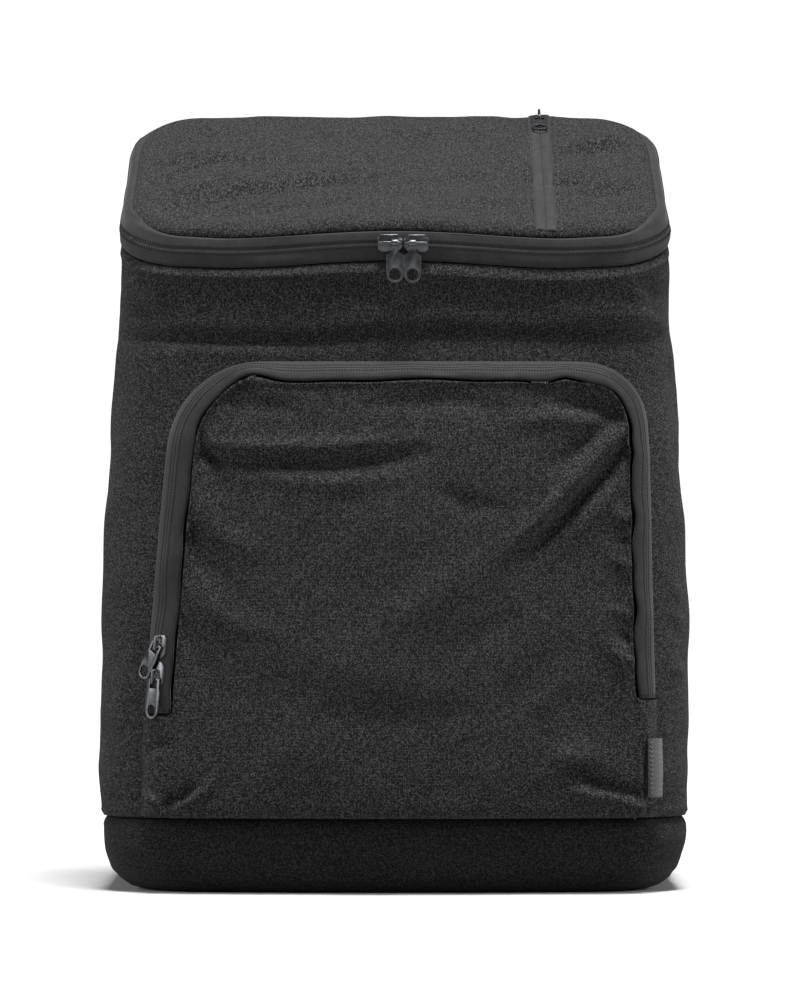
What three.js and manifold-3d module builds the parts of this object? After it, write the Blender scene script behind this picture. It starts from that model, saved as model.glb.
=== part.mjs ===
// Cooler backpack: a foam-backed box bag that stands on its base, with a sloping padded lid, a zip round
// the lid, a zipped front pocket and two shoulder straps. Millimetres, +Z up, the wearer's side at +Y,
// the front at -Y. The origin is the centre of the base's underside.
import * as THREE from "three";
import { mergeVertices } from "three/addons/utils/BufferGeometryUtils.js";
import Module from "manifold-3d";

const wasm = await Module();
wasm.setup();

// Bag
const WIDTH = 316; // widest, a little above the base band
const DEPTH = 190; // base band, front to back
const FRONT_HEIGHT = 329; // top edge of the front wall
const LID_RISE = 74; // climb of the top edge from front to back
const BASE_HEIGHT = 40; // seam between base band and walls
const FRONT_BOW = 7; // how far the front wall bows forward in its middle
const CORNER = 38; // front corners, seen from above
const REAR_CORNER = 16;
const GAP = 0.3; // clearance between neighbouring pieces

// Materials' thicknesses
const WALL = 6; // foam-backed cloth
const FLOOR = 5;
const BACK_PAD = 10;
const LID_PAD = 6;
const LID_CROWN = 3; // how full the lid's middle is
const LID_DROOP = 5; // how far the lid's back corners would sink at full width
const CLOTH = 2;
const TAPE = 1.6;

// Zips
const BAND_HEIGHT = 15.5; // zip band between wall and lid
const BAND_RAISE = 6; // how far the band rises over its middle
const BAND_THICK = 1.8;
const BAND_PROUD = 0.6; // how far the band's edges stand outside the wall
const BAND_SWELL = 1.6; // how far the band bows outward between its seams
const COIL_DROP = 5.6; // coil line below the band's upper edge
const LID_ZIP_X = 80.5;
const LID_ZIP_WIDTH = 11.8;
const LID_SLIDER_Y = 80;
const POCKET_BAND = 15; // pocket zip band, seen from the front
const POCKET_BAND_TOP = 11;
const POCKET_TOP = 283;
const POCKET_BULGE = 9; // how far the pocket's edge stands off the wall
const POCKET_FILL = 8; // further bulge in the pocket's middle
const POCKET_CORNER = { left: 42, right: 32 };
const ZIP_END_LEFT = 96;
const ZIP_END_RIGHT = 104;

// Sliders and pulls
const SLIDER = { length: 12.9, width: 9.2, plate: 1.5, lift: 0.9, waist: 6.4, cheek: 1.5, nose: 2.5 };
const NECK = { length: 3, width: 1.6, behind: 4, bite: 0.8 }; // behind: from the slider's nose to its middle
const UNDER_PLATE = 1; // the slider's plate behind the tape
const GRIP = BAND_THICK + 2 * GAP; // from the tape's face to that plate
const BRIDGE = { bar: 1.2, width: 1.4, opening: 2.4, sunk: 0.3 };
const PULL = { width: 8.9, length: 21, thick: 1.2, hole: 6.6, neck: 3.4, shoulder: 6.5, slope: 2 };
const KNUCKLE = { outer: 1.95, inner: 1.15 };
const EYE = { halfWidth: 2.65, length: 4.2, bar: 1.2, rim: 1.1 };
const MAIN_SLIDER_X = { left: -2.25, right: 11.35 };
const MAIN_PULL_X = { left: 0.25, right: 9.5 };
const POCKET_SLIDER_Z = { upper: 131.2, lower: 117.2 };
const UPPER_PULL_TURN = 28; // degrees to the left of hanging straight
const SHORT_BRIDGE = 2; // a pocket slider's bridge ends this far past the slider's middle

// Carrying parts, hidden behind the bag
const STRAP = { width: 64, thick: 9, straight: 7 }; // straight: the stretch above its lock
const WEBBING = { width: 25, thick: 1.8, slack: 0.7 };
const LOCK = { width: 33, height: 26, thick: 4, bar: 4, rail: 3.6, chamfer: 2 };
const LOCK_OUT = 21; // the lock's middle stands this far behind the back panel
const LOCK_Z = 0.39 * FRONT_HEIGHT;
const ANCHOR = { width: 36, height: 24, thick: 3, x: 116, z: 56 };
const HANDLE = { reach: 24, half: 42, width: 18, thick: 3, z: FRONT_HEIGHT + LID_RISE - 2 };
const LOOP = { height: 31, z: 67, reach: 0.7, ply: 1, slack: 1.4 };

const SLOPE = LID_RISE / DEPTH;
const FRONT = -DEPTH / 2;
const BACK = DEPTH / 2;
const HALF = WIDTH / 2;

// Walls from the base seam to the lid: height is a share of FRONT_HEIGHT, width of HALF and front of
// DEPTH / 2. The dip in front at 0.895 is the crease across the upper front, and the rows from 1.237 up
// round the bag's upper back corners.
const WALL_SECTIONS = [
  { height: 0.12, width: 0.992, front: 0.985 },
  { height: 0.2, width: 1.0, front: 1.0 },
  { height: 0.4, width: 0.99, front: 1.0 },
  { height: 0.6, width: 0.977, front: 1.0 },
  { height: 0.73, width: 0.957, front: 0.995 },
  { height: 0.82, width: 0.941, front: 0.975 },
  { height: 0.87, width: 0.937, front: 0.955 },
  { height: 0.895, width: 0.934, front: 0.925 },
  { height: 0.94, width: 0.931, front: 0.945 },
  { height: 1.0, width: 0.932, front: 0.98 },
  { height: 1.12, width: 0.918, front: 0.98 },
  { height: 1.213, width: 0.912, front: 0.98 },
  { height: 1.237, width: 0.903, front: 0.98 },
  { height: 1.247, width: 0.888, front: 0.98 },
  { height: 1.258, width: 0.861, front: 0.98 },
  { height: 1.268, width: 0.818, front: 0.98 },
  { height: 1.278, width: 0.76, front: 0.98 },
];

// Base band: height, and how far it stands inside its upper edge at the sides and at front and back, all
// in shares of BASE_HEIGHT.
const BASE_SECTIONS = [
  { height: 0, sides: 0.6, ends: 0.36 },
  { height: 0.06, sides: 0.38, ends: 0.2 },
  { height: 0.12, sides: 0.29, ends: 0.15 },
  { height: 0.17, sides: 0.21, ends: 0.12 },
  { height: 0.28, sides: 0.125, ends: 0.08 },
  { height: 0.42, sides: 0.075, ends: 0.05 },
  { height: 0.65, sides: 0.02, ends: 0.02 },
  { height: 1, sides: 0, ends: 0 },
];

// Pocket edge, from the base seam upward: height is a share of POCKET_TOP, left and right of HALF.
const POCKET_SECTIONS = [
  { height: 0.145, left: 0.853, right: 0.883 },
  { height: 0.35, left: 0.843, right: 0.883 },
  { height: 0.5, left: 0.822, right: 0.875 },
  { height: 0.65, left: 0.8, right: 0.869 },
  { height: 0.82, left: 0.772, right: 0.863 },
  { height: 1.0, left: 0.729, right: 0.843 },
];

// Folds of the pocket panel: x in HALF, z in POCKET_TOP, long and wide in HALF, turn in degrees, depth mm.
const POCKET_FOLDS = [
  { x: -0.2, z: 0.78, long: 0.5, wide: 0.07, turn: 3, depth: 1.8 },
  { x: 0.45, z: 0.72, long: 0.42, wide: 0.09, turn: 38, depth: 2.2 },
  { x: 0.6, z: 0.88, long: 0.22, wide: 0.1, turn: 25, depth: -3 },
  { x: 0.5, z: 0.24, long: 0.3, wide: 0.07, turn: -18, depth: -2 },
  { x: -0.62, z: 0.3, long: 0.16, wide: 0.06, turn: 30, depth: -1.6 },
];

// The lid from the middle of its underside round its rolled edge to the middle of its top: inset in mm from
// its outline, level 0 on the zip's band and 1 on the top face.
const LID_EDGE = [
  { inset: 62, level: 0 },
  { inset: 30, level: 0 },
  { inset: 2.5, level: 0 },
  { inset: 0.6, level: 0.25 },
  { inset: 0.4, level: 0.6 },
  { inset: 2.6, level: 0.95 },
  { inset: 8, level: 1 },
  { inset: 20, level: 1 },
  { inset: 36, level: 1 },
  { inset: 54, level: 1 },
  { inset: 74, level: 1 },
];

// Folds of the lid: x in HALF, y in DEPTH / 2, long and wide in HALF, turn in degrees, depth mm.
const LID_FOLDS = [
  { x: -0.55, y: -0.1, long: 0.45, wide: 0.12, turn: 14, depth: 2.5 },
  { x: -0.3, y: -0.45, long: 0.5, wide: 0.1, turn: 8, depth: 1.8 },
  { x: 0.5, y: 0.05, long: 0.25, wide: 0.14, turn: 0, depth: -2 },
  { x: 0.72, y: 0.2, long: 0.2, wide: 0.14, turn: -50, depth: 2 },
];

// Shoulder strap's middle line from its seam at the top to its end at the lock: side is a share of HALF,
// out is how far it stands behind the back panel in shares of DEPTH, height a share of FRONT_HEIGHT.
const STRAP_LINE = [
  { side: 0.28, out: 0.0262, height: 1.19, width: 0.9 },
  { side: 0.29, out: 0.03, height: 1.155, width: 1.0 },
  { side: 0.3, out: 0.12, height: 1.12, width: 1.0 },
  { side: 0.33, out: 0.24, height: 1.05, width: 1.0 },
  { side: 0.38, out: 0.31, height: 0.93, width: 1.0 },
  { side: 0.43, out: 0.32, height: 0.78, width: 0.95 },
  { side: 0.48, out: 0.27, height: 0.63, width: 0.85 },
  { side: 0.52, out: 0.19, height: 0.54, width: 0.62 },
  { side: 0.54, out: 0.125, height: 0.46, width: 0.42 },
];

const look = (color, roughness, metalness = 0) => ({ color, roughness, metalness });
const HEATHER = look("#343436", 0.95);
const BASE_CLOTH = look("#232325", 0.95);
const TAPE_CLOTH = look("#3f3f41", 0.62);
const GUNMETAL = look("#77787b", 0.3, 0.9);
const NYLON = look("#1d1d1f", 0.55);
const MESH_CLOTH = look("#242426", 1.0);

const bag = new THREE.Group();

const vec = (x, y, z) => new THREE.Vector3(x, y, z);

function spaced(from, to, steps) {
  return Array.from({ length: steps + 1 }, (_, i) => from + ((to - from) * i) / steps);
}

function lerpTable(table, key, at, column) {
  const last = table.length - 1;
  let i = 0;
  while (i < last - 1 && at > table[i + 1][key]) i += 1;
  const [a, b] = [table[i], table[i + 1]];
  const t = THREE.MathUtils.clamp((at - a[key]) / (b[key] - a[key]), 0, 1);
  return a[column] + (b[column] - a[column]) * t;
}

function foldHeight(folds, x, second) {
  let height = 0;
  for (const fold of folds) {
    const turn = THREE.MathUtils.degToRad(fold.turn);
    const dx = x - fold.x;
    const dz = second - (fold.z ?? fold.y);
    const along = (dx * Math.cos(turn) + dz * Math.sin(turn)) / fold.long;
    const across = (dz * Math.cos(turn) - dx * Math.sin(turn)) / fold.wide;
    height += fold.depth * Math.exp(-(along ** 2) - across ** 2);
  }
  return height;
}

function meshFrom(name, points, faces, finish) {
  const geometry = new THREE.BufferGeometry();
  const values = points.flatMap((p) => [p.x, p.y, p.z]);
  geometry.setAttribute("position", new THREE.Float32BufferAttribute(values, 3));
  geometry.setIndex(signedVolume(points, faces) > 0 ? faces.flat() : faces.flatMap(([a, b, c]) => [a, c, b]));
  geometry.computeVertexNormals();
  return namedMesh(name, geometry, finish);
}

function signedVolume(points, faces) {
  return faces.reduce((sum, [a, b, c]) => sum + points[a].dot(points[b].clone().cross(points[c])), 0);
}

function namedMesh(name, geometry, finish) {
  const mesh = new THREE.Mesh(geometry, new THREE.MeshStandardMaterial(finish));
  mesh.name = name;
  return mesh;
}

// A closed solid between two grids of points with equal rows and columns.
function gridSolid(name, outer, inner, finish) {
  const rows = outer.length;
  const cols = outer[0].length;
  const points = [...outer.flat(), ...inner.flat()];
  const at = (r, c, side) => side * rows * cols + r * cols + c;
  const faces = [];
  const quad = (a, b, c, d) => faces.push([a, b, c], [a, c, d]);
  for (let r = 0; r < rows - 1; r += 1) {
    for (let c = 0; c < cols - 1; c += 1) {
      quad(at(r, c, 0), at(r, c + 1, 0), at(r + 1, c + 1, 0), at(r + 1, c, 0));
      quad(at(r, c, 1), at(r + 1, c, 1), at(r + 1, c + 1, 1), at(r, c + 1, 1));
    }
    quad(at(r, 0, 0), at(r + 1, 0, 0), at(r + 1, 0, 1), at(r, 0, 1));
    quad(at(r, cols - 1, 0), at(r, cols - 1, 1), at(r + 1, cols - 1, 1), at(r + 1, cols - 1, 0));
  }
  for (let c = 0; c < cols - 1; c += 1) {
    quad(at(0, c, 0), at(0, c, 1), at(0, c + 1, 1), at(0, c + 1, 0));
    quad(at(rows - 1, c, 0), at(rows - 1, c + 1, 0), at(rows - 1, c + 1, 1), at(rows - 1, c, 1));
  }
  return meshFrom(name, points, faces, finish);
}

// A closed solid through closed rings of equal length, with a fan over the first and the last.
function ringSolid(name, rings, finish) {
  const count = rings[0].length;
  const points = rings.flat();
  const faces = [];
  for (let r = 0; r < rings.length - 1; r += 1) {
    for (let i = 0; i < count; i += 1) {
      const j = (i + 1) % count;
      const [a, b] = [r * count + i, r * count + j];
      faces.push([a, b, b + count], [a, b + count, a + count]);
    }
  }
  for (const [ring, flip] of [[0, true], [rings.length - 1, false]]) {
    const middle = rings[ring].reduce((sum, p) => sum.add(p), vec(0, 0, 0)).divideScalar(count);
    points.push(middle);
    for (let i = 0; i < count; i += 1) {
      const [a, b] = [ring * count + i, ring * count + ((i + 1) % count)];
      faces.push(flip ? [b, a, points.length - 1] : [a, b, points.length - 1]);
    }
  }
  return meshFrom(name, points, faces, finish);
}

// The grid moved along its own normals; a positive distance goes to the side that the middle's normal
// shares with the hint.
function offsetGrid(grid, distance, hint) {
  const rows = grid.length;
  const cols = grid[0].length;
  const normalAt = (r, c) => {
    const along = grid[Math.min(r + 1, rows - 1)][c].clone().sub(grid[Math.max(r - 1, 0)][c]);
    const across = grid[r][Math.min(c + 1, cols - 1)].clone().sub(grid[r][Math.max(c - 1, 0)]);
    return along.cross(across).normalize();
  };
  const middle = normalAt(rows >> 1, cols >> 1);
  const sign = middle.dot(hint) < 0 ? -1 : 1;
  return grid.map((row, r) => row.map((p, c) => p.clone().addScaledVector(normalAt(r, c), sign * distance)));
}

function toManifold(geometry) {
  const bare = geometry.clone();
  for (const key of Object.keys(bare.attributes)) {
    if (key !== "position") bare.deleteAttribute(key);
  }
  const merged = mergeVertices(bare, 1e-4);
  const vertProperties = merged.attributes.position.array;
  const triVerts = new Uint32Array(merged.index.array);
  return new wasm.Manifold(new wasm.Mesh({ numProp: 3, vertProperties, triVerts }));
}

function fromManifold(solid) {
  const { vertProperties, triVerts, numProp } = solid.getMesh();
  const geometry = new THREE.BufferGeometry();
  const count = vertProperties.length / numProp;
  const positions = new Float32Array(count * 3);
  for (let i = 0; i < count; i += 1) {
    for (let k = 0; k < 3; k += 1) positions[i * 3 + k] = vertProperties[i * numProp + k];
  }
  geometry.setAttribute("position", new THREE.BufferAttribute(positions, 3));
  geometry.setIndex(Array.from(triVerts));
  geometry.computeVertexNormals();
  return geometry;
}

function joined(geometries) {
  return fromManifold(geometries.map(toManifold).reduce((a, b) => a.add(b)));
}

function cut(mesh, cutters) {
  const whole = toManifold(mesh.geometry);
  mesh.geometry = fromManifold(cutters.map(toManifold).reduce((a, b) => a.subtract(b), whole));
  return mesh;
}

function extruded(points, depth, holes = []) {
  const shape = new THREE.Shape(points.map(([x, y]) => new THREE.Vector2(x, y)));
  shape.holes = holes;
  return new THREE.ExtrudeGeometry(shape, { depth, bevelEnabled: false, curveSegments: 5 });
}

function box(x, y, z, cx = 0, cy = 0, cz = 0) {
  return new THREE.BoxGeometry(x, y, z).translate(cx, cy, cz);
}

// Seen from above: the wall's line from its back left end round the front to its back right end.
const SIDE_STEPS = 6;
const CORNER_STEPS = 4;
const FRONT_STEPS = 14;

function planLine({ half, front, back, corner, bow = FRONT_BOW }) {
  const line = [];
  const side = front + bow + corner;
  for (let i = 0; i < SIDE_STEPS; i += 1) line.push([-half, back + ((side - back) * i) / SIDE_STEPS]);
  for (let i = 0; i < CORNER_STEPS; i += 1) {
    const angle = (i / CORNER_STEPS) * (Math.PI / 2);
    line.push([-half + corner * (1 - Math.cos(angle)), side - corner * Math.sin(angle)]);
  }
  const straight = half - corner;
  for (let i = 0; i < FRONT_STEPS / 2; i += 1) {
    const x = -straight + (straight * i) / (FRONT_STEPS / 2);
    line.push([x, front + bow * (x / straight) ** 2]);
  }
  const mirrored = line.map(([x, y]) => [-x, y]).reverse();
  return [...line, [0, front], ...mirrored];
}

// The same line closed behind, with rear corners.
function closedPlan({ half, front, back, corner, rear, bow = FRONT_BOW }) {
  const open = planLine({ half, front, back: back - rear, corner, bow });
  const behind = [];
  for (let i = 1; i <= CORNER_STEPS; i += 1) {
    const angle = (i / CORNER_STEPS) * (Math.PI / 2);
    behind.push([half - rear * (1 - Math.cos(angle)), back - rear + rear * Math.sin(angle)]);
  }
  const across = half - rear;
  for (let i = 1; i < 6; i += 1) behind.push([across - (2 * across * i) / 6, back]);
  for (let i = CORNER_STEPS; i >= 1; i -= 1) {
    const angle = (i / CORNER_STEPS) * (Math.PI / 2);
    behind.push([-half + rear * (1 - Math.cos(angle)), back - rear + rear * Math.sin(angle)]);
  }
  return [...open, ...behind];
}

function wallSection(z) {
  const height = z / FRONT_HEIGHT;
  return {
    half: HALF * lerpTable(WALL_SECTIONS, "height", height, "width"),
    front: FRONT * lerpTable(WALL_SECTIONS, "height", height, "front"),
    corner: CORNER,
  };
}

// Height of the walls' sloping top edge.
function rimHeight(x, y) {
  const toFront = THREE.MathUtils.clamp(-y / (DEPTH / 2), 0, 1) ** 2;
  const middle = Math.max(0, 1 - (x / (0.62 * HALF)) ** 2) ** 2;
  return FRONT_HEIGHT + SLOPE * (y + DEPTH / 2) + BAND_RAISE * middle * toFront;
}

// A point on the wall's outside line at height z, moved inward by inset.
function wallPoint(index, z, inset, back) {
  const section = wallSection(z);
  const line = planLine({
    half: section.half - inset,
    front: section.front + inset,
    back,
    corner: section.corner - inset,
  });
  return vec(line[index][0], line[index][1], z);
}

const LINE_COUNT = 2 * (SIDE_STEPS + CORNER_STEPS + FRONT_STEPS / 2) + 1;
const PANEL_FRONT = BACK - BACK_PAD; // the back panel's inner face

function rimAt(index, inset, lift = 0) {
  let point = wallPoint(index, FRONT_HEIGHT, inset, PANEL_FRONT - GAP);
  for (let pass = 0; pass < 4; pass += 1) {
    const z = rimHeight(point.x, point.y);
    point = wallPoint(index, z, inset, PANEL_FRONT - GAP);
  }
  point.z = rimHeight(point.x, point.y) + lift;
  return point;
}

function bodyShell() {
  const rowHeights = [0, 0.09, 0.26, 0.45, 0.62, 0.74, 0.82, 0.86, 0.885, 0.93, 1];
  const bottom = BASE_HEIGHT + GAP / 2;
  const grid = (shares, inset) =>
    shares.map((share) =>
      Array.from({ length: LINE_COUNT }, (_, i) => {
        const rim = rimAt(i, inset);
        const z = bottom + (rim.z - bottom) * share;
        return share === 1 ? rim : wallPoint(i, z, inset, PANEL_FRONT - GAP);
      }),
    );
  return gridSolid("body_shell", grid(rowHeights, 0), grid(rowHeights, WALL), HEATHER);
}

function baseTub() {
  const ringAt = (height, thickness) => {
    const z = BASE_HEIGHT * height - (height === 1 ? GAP / 2 : 0);
    const inset = (column) => BASE_HEIGHT * lerpTable(BASE_SECTIONS, "height", height, column) + thickness;
    const plan = closedPlan({
      half: HALF * WALL_SECTIONS[0].width - inset("sides"),
      front: FRONT * WALL_SECTIONS[0].front + inset("ends"),
      back: BACK - inset("ends"),
      corner: CORNER - thickness,
      rear: REAR_CORNER - thickness / 2,
    });
    return plan.map(([x, y]) => vec(x, y, z));
  };
  const outside = BASE_SECTIONS.map((row) => ringAt(row.height, 0));
  const inside = [1, 0.5, FLOOR / BASE_HEIGHT].map((height) => ringAt(height, WALL));
  return ringSolid("base_tub", [...outside, ...inside], BASE_CLOTH);
}

function backPanel() {
  const bottom = BASE_HEIGHT + GAP / 2;
  const shares = [0, 0.12, 0.3, 0.5, 0.7, 0.85, 0.94, 0.955, 0.975, 0.99, 1];
  const across = [-1, -0.94, -0.6, -0.12, 0, 0.12, 0.6, 0.94, 1];
  const channel = 2.5; // depth of the groove down the middle
  const rolled = 3; // how far the panel's edges roll back
  const grid = (y, shaped) =>
    shares.map((share) =>
      across.map((c) => {
        const onEdge = Math.abs(c) === 1 || share === 0 || share === 1;
        const dip = (c === 0 ? channel : 0) + (onEdge ? rolled : 0);
        const place = y - (shaped ? dip : 0);
        const z = bottom + (rimHeight(0, place) + BAND_HEIGHT - GAP - bottom) * share;
        return vec(c * wallSection(z).half, place, z);
      }),
    );
  return gridSolid("back_panel", grid(BACK, true), grid(PANEL_FRONT, false), MESH_CLOTH);
}

// Top face of the lid over a place in plan, without its rolled edge.
function lidTop(x, y) {
  const crown = LID_CROWN * Math.max(0, 1 - (x / HALF) ** 2) * Math.max(0, 1 - (y / BACK) ** 2);
  const droop = LID_DROOP * (x / HALF) ** 6 * Math.max(0, y / BACK) ** 3;
  const folds = foldHeight(LID_FOLDS, x / HALF, y / BACK) * Math.max(0, 1 - (x / (0.9 * HALF)) ** 2);
  return rimHeight(x, y) + BAND_HEIGHT + LID_PAD + GAP + crown + folds - droop;
}

function lidPanel() {
  const { half, front } = wallSection(FRONT_HEIGHT + BAND_HEIGHT);
  const tightest = 3; // the least corner of a ring
  const ringAt = ({ inset, level }) => {
    const plan = closedPlan({
      half: half - inset,
      front: front + inset,
      back: BACK - inset,
      corner: Math.max(tightest, CORNER - inset),
      rear: Math.max(tightest, REAR_CORNER - inset / 2),
      bow: FRONT_BOW * (1 - inset / HALF),
    });
    return plan.map(([x, y]) => {
      const across = x * (wallSection(rimHeight(x, y) + BAND_HEIGHT).half / half);
      const under = rimHeight(across, y) + BAND_HEIGHT + GAP;
      return vec(across, y, under + (lidTop(across, y) - under) * level);
    });
  };
  const lid = ringSolid("lid_panel", LID_EDGE.map(ringAt), HEATHER);
  return cut(lid, [lidStrip(LID_ZIP_WIDTH / 2 + GAP, -TAPE - 2 * GAP, 2 * LID_PAD, DEPTH / 10).geometry]);
}

// A strip along the lid zip, between two levels over or under the lid's top face.
function lidStrip(halfWidth, low, high, overrun) {
  const places = spaced(-BACK + 6, BACK - 5, 12);
  if (overrun) {
    places.unshift(places[0] - overrun);
    places.push(places[places.length - 1] + overrun);
  }
  const rows = (level) =>
    places.map((y) =>
      [-1, 1].map((side) => {
        const x = LID_ZIP_X + side * halfWidth;
        return vec(x, y, lidTop(x, y) + level);
      }),
    );
  return gridSolid("lid_zip_tape", rows(high), rows(low), TAPE_CLOTH);
}

function mainZipTape() {
  const bulge = [0, 0.8, 1, 0.6, 0];
  const column = (inset, swell) => (_, r) =>
    Array.from({ length: LINE_COUNT }, (_unused, i) => {
      const v = r / (bulge.length - 1);
      const lift = GAP + (BAND_HEIGHT - GAP) * v;
      return rimAt(i, inset - swell * bulge[r], lift);
    });
  const outer = bulge.map(column(-BAND_PROUD, BAND_SWELL));
  const inner = bulge.map(column(BAND_THICK - BAND_PROUD, BAND_SWELL));
  return gridSolid("main_zip_tape", outer, inner, TAPE_CLOTH);
}

// The wall's outside face in front, at a place across and up.
function frontFace(x, z) {
  const { half, front, corner } = wallSection(z);
  const straight = half - corner;
  const beyond = Math.abs(x) - straight;
  if (beyond <= 0) return front + FRONT_BOW * (x / straight) ** 2;
  return front + FRONT_BOW + corner - Math.sqrt(Math.max(0, corner ** 2 - beyond ** 2));
}

// Where the pocket's edge stands: its outer line on the wall and its inner line round the cloth panel,
// which an inset moves further in.
function pocketStation(side, z, inset = 0) {
  const sign = side === "left" ? -1 : 1;
  const band = (side === "left" ? POCKET_BAND : 0.75 * POCKET_BAND) + inset;
  const outer = sign * HALF * lerpTable(POCKET_SECTIONS, "height", z / POCKET_TOP, side);
  return { outer: [outer, z], inner: [outer - sign * band, z] };
}

function pocketCornerStation(side, share, inset = 0) {
  const sign = side === "left" ? -1 : 1;
  const radius = POCKET_CORNER[side];
  const angle = (share * Math.PI) / 2;
  const start = POCKET_TOP - radius;
  const z = start + radius * Math.sin(angle);
  const { outer, inner } = pocketStation(side, z, inset);
  const band = Math.abs(outer[0] - inner[0]);
  const swing = 1 - Math.cos(angle);
  const innerZ = start + (radius - POCKET_BAND_TOP - inset) * Math.sin(angle);
  return {
    outer: [outer[0] - sign * radius * swing, z],
    inner: [inner[0] - sign * (radius - band) * swing, innerZ],
  };
}

const BAND_COLUMNS = [0, 0.3, 0.65, 1];

function bandRise(x, z) {
  return frontFace(x, z) - GAP - TAPE - POCKET_BULGE;
}

// A point of the pocket's edge band, at a share of its way from the outer to the inner line.
function bandPoint({ outer, inner }, share, thickness, onInside) {
  const reach = Math.hypot(inner[0] - outer[0], inner[1] - outer[1]);
  const toward = [(inner[0] - outer[0]) / reach, (inner[1] - outer[1]) / reach];
  const x = outer[0] + (inner[0] - outer[0]) * share;
  const z = outer[1] + (inner[1] - outer[1]) * share;
  const low = frontFace(outer[0], outer[1]) - GAP;
  const high = bandRise(inner[0], inner[1]);
  const y = low + (high - low) * Math.sin((share * Math.PI) / 2);
  if (!onInside) return vec(x, y, z);
  const flat = Math.cos((share * Math.PI) / 2);
  const shifted = [x + toward[0] * thickness * flat, z + toward[1] * thickness * flat];
  const onWall = frontFace(shifted[0], shifted[1]) - GAP;
  const behind = y + thickness * Math.sqrt(1 - flat ** 2);
  return vec(shifted[0], share === 0 ? onWall : behind, shifted[1]);
}

function pocketBand(name, stations, thickness, finish) {
  const grid = (onInside) =>
    stations.map((at) => BAND_COLUMNS.map((share) => bandPoint(at, share, thickness, onInside)));
  return gridSolid(name, grid(false), grid(true), finish);
}

const CORNER_SHARES = [0.2, 0.4, 0.6, 0.8, 1];

function pocketTape() {
  const rise = (side, from) => [
    ...spaced(from + GAP / 2, POCKET_TOP - POCKET_CORNER[side], 9).map((z) => pocketStation(side, z)),
    ...CORNER_SHARES.map((share) => pocketCornerStation(side, share)),
  ];
  const left = rise("left", ZIP_END_LEFT);
  const right = rise("right", ZIP_END_RIGHT).reverse();
  const [a, b] = [left[left.length - 1], right[0]];
  const mix = (key, t) => a[key].map((value, k) => value + (b[key][k] - value) * t);
  const top = spaced(0, 1, 8).slice(1, -1).map((t) => ({ outer: mix("outer", t), inner: mix("inner", t) }));
  return pocketBand("pocket_zip_tape", [...left, ...top, ...right], TAPE, TAPE_CLOTH);
}

function pocketGusset(side, end) {
  const bottom = BASE_HEIGHT + GAP / 2;
  const stations = spaced(bottom, end - GAP / 2, 4).map((z) => pocketStation(side, z));
  return pocketBand(`pocket_gusset_${side}`, stations, CLOTH, HEATHER);
}

function pocketPanel() {
  const clear = 3.5 * GAP;
  const straight = (name) => spaced(BASE_HEIGHT + 16, POCKET_TOP - POCKET_CORNER[name], 8);
  const side = (name) => [
    ...straight(name).map((z) => pocketStation(name, z, clear).inner),
    ...CORNER_SHARES.map((share) => pocketCornerStation(name, share, clear).inner),
  ];
  const bottom = BASE_HEIGHT + GAP;
  const rolls = [
    { up: 0.2, out: 0 },
    { up: 0, out: 0.55 },
    { up: 2.4, out: 0.93 },
    { up: 7, out: 1.02 },
  ];
  const left = side("left");
  const right = side("right");
  const top = POCKET_TOP - POCKET_BAND_TOP - clear;
  const across = spaced(-1, 1, 14);
  const fillsFrom = BASE_HEIGHT - 60; // below the seam, so that the panel is already full there
  const place = (l, r, u, roll) => {
    const t = (u + 1) / 2;
    const x = l[0] + (r[0] - l[0]) * t;
    const z = l[1] + (r[1] - l[1]) * t;
    const rise = Math.sin(Math.PI * THREE.MathUtils.clamp((z - fillsFrom) / (top - fillsFrom), 0, 1));
    const fill = POCKET_FILL * rise * Math.max(0, 1 - u ** 2) ** 0.8;
    const folds = foldHeight(POCKET_FOLDS, x / HALF, z / POCKET_TOP) * (1 - u ** 4);
    const face = bandRise(x, z) - fill - folds;
    if (!roll) return vec(x, face, z);
    const wall = frontFace(x, z) - 2 * GAP;
    return vec(x, wall + (face - wall) * roll.out, z);
  };
  const rolled = rolls.map((roll) => {
    const z = bottom + roll.up;
    const [l, r] = ["left", "right"].map((name) => pocketStation(name, z, clear).inner);
    return across.map((u) => place(l, r, u, roll));
  });
  const rows = left.map((l, i) => across.map((u) => place(l, right[i], u)));
  const outer = [...rolled, ...rows];
  return gridSolid("pocket_panel", outer, offsetGrid(outer, CLOTH, vec(0, 1, 0)), HEATHER);
}

// A folded ribbon that lies on the pocket's right side, sewn into its seam.
function seamLoop() {
  const station = pocketStation("right", LOOP.z);
  const { ply, slack, reach } = LOOP;
  const thick = 2 * ply + slack;
  const step = 0.02; // share of the pocket's side over which its direction is taken
  const foldShare = 16; // the pocket's side is about this deep, so a size in mm over it is a share
  const above = (share, height) => {
    const point = bandPoint(station, share, CLOTH, false);
    const before = bandPoint(station, share - step, CLOTH, false);
    const along = bandPoint(station, share + step, CLOTH, false).sub(before);
    const out = new THREE.Vector2(-along.y, along.x).normalize();
    if (out.x < 0) out.negate();
    return [point.x + out.x * (height + 2 * GAP), point.y + out.y * (height + 2 * GAP)];
  };
  const shares = spaced(0.08, reach, 4);
  const bend = (size) => [-45, 0, 45].map((deg) => {
    const angle = THREE.MathUtils.degToRad(deg);
    return above(reach + (size / foldShare) * Math.cos(angle), thick / 2 + (size / 2) * Math.sin(angle));
  });
  const lower = (height) => shares.map((share) => above(share, height));
  const plan = [
    ...lower(0), ...bend(thick), ...lower(thick).reverse(),
    ...lower(thick - ply), ...bend(slack).reverse(), ...lower(ply).reverse(),
  ];
  const geometry = extruded(plan, LOOP.height).translate(0, 0, LOOP.z - LOOP.height / 2);
  return namedMesh("seam_loop", geometry, NYLON);
}

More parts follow.
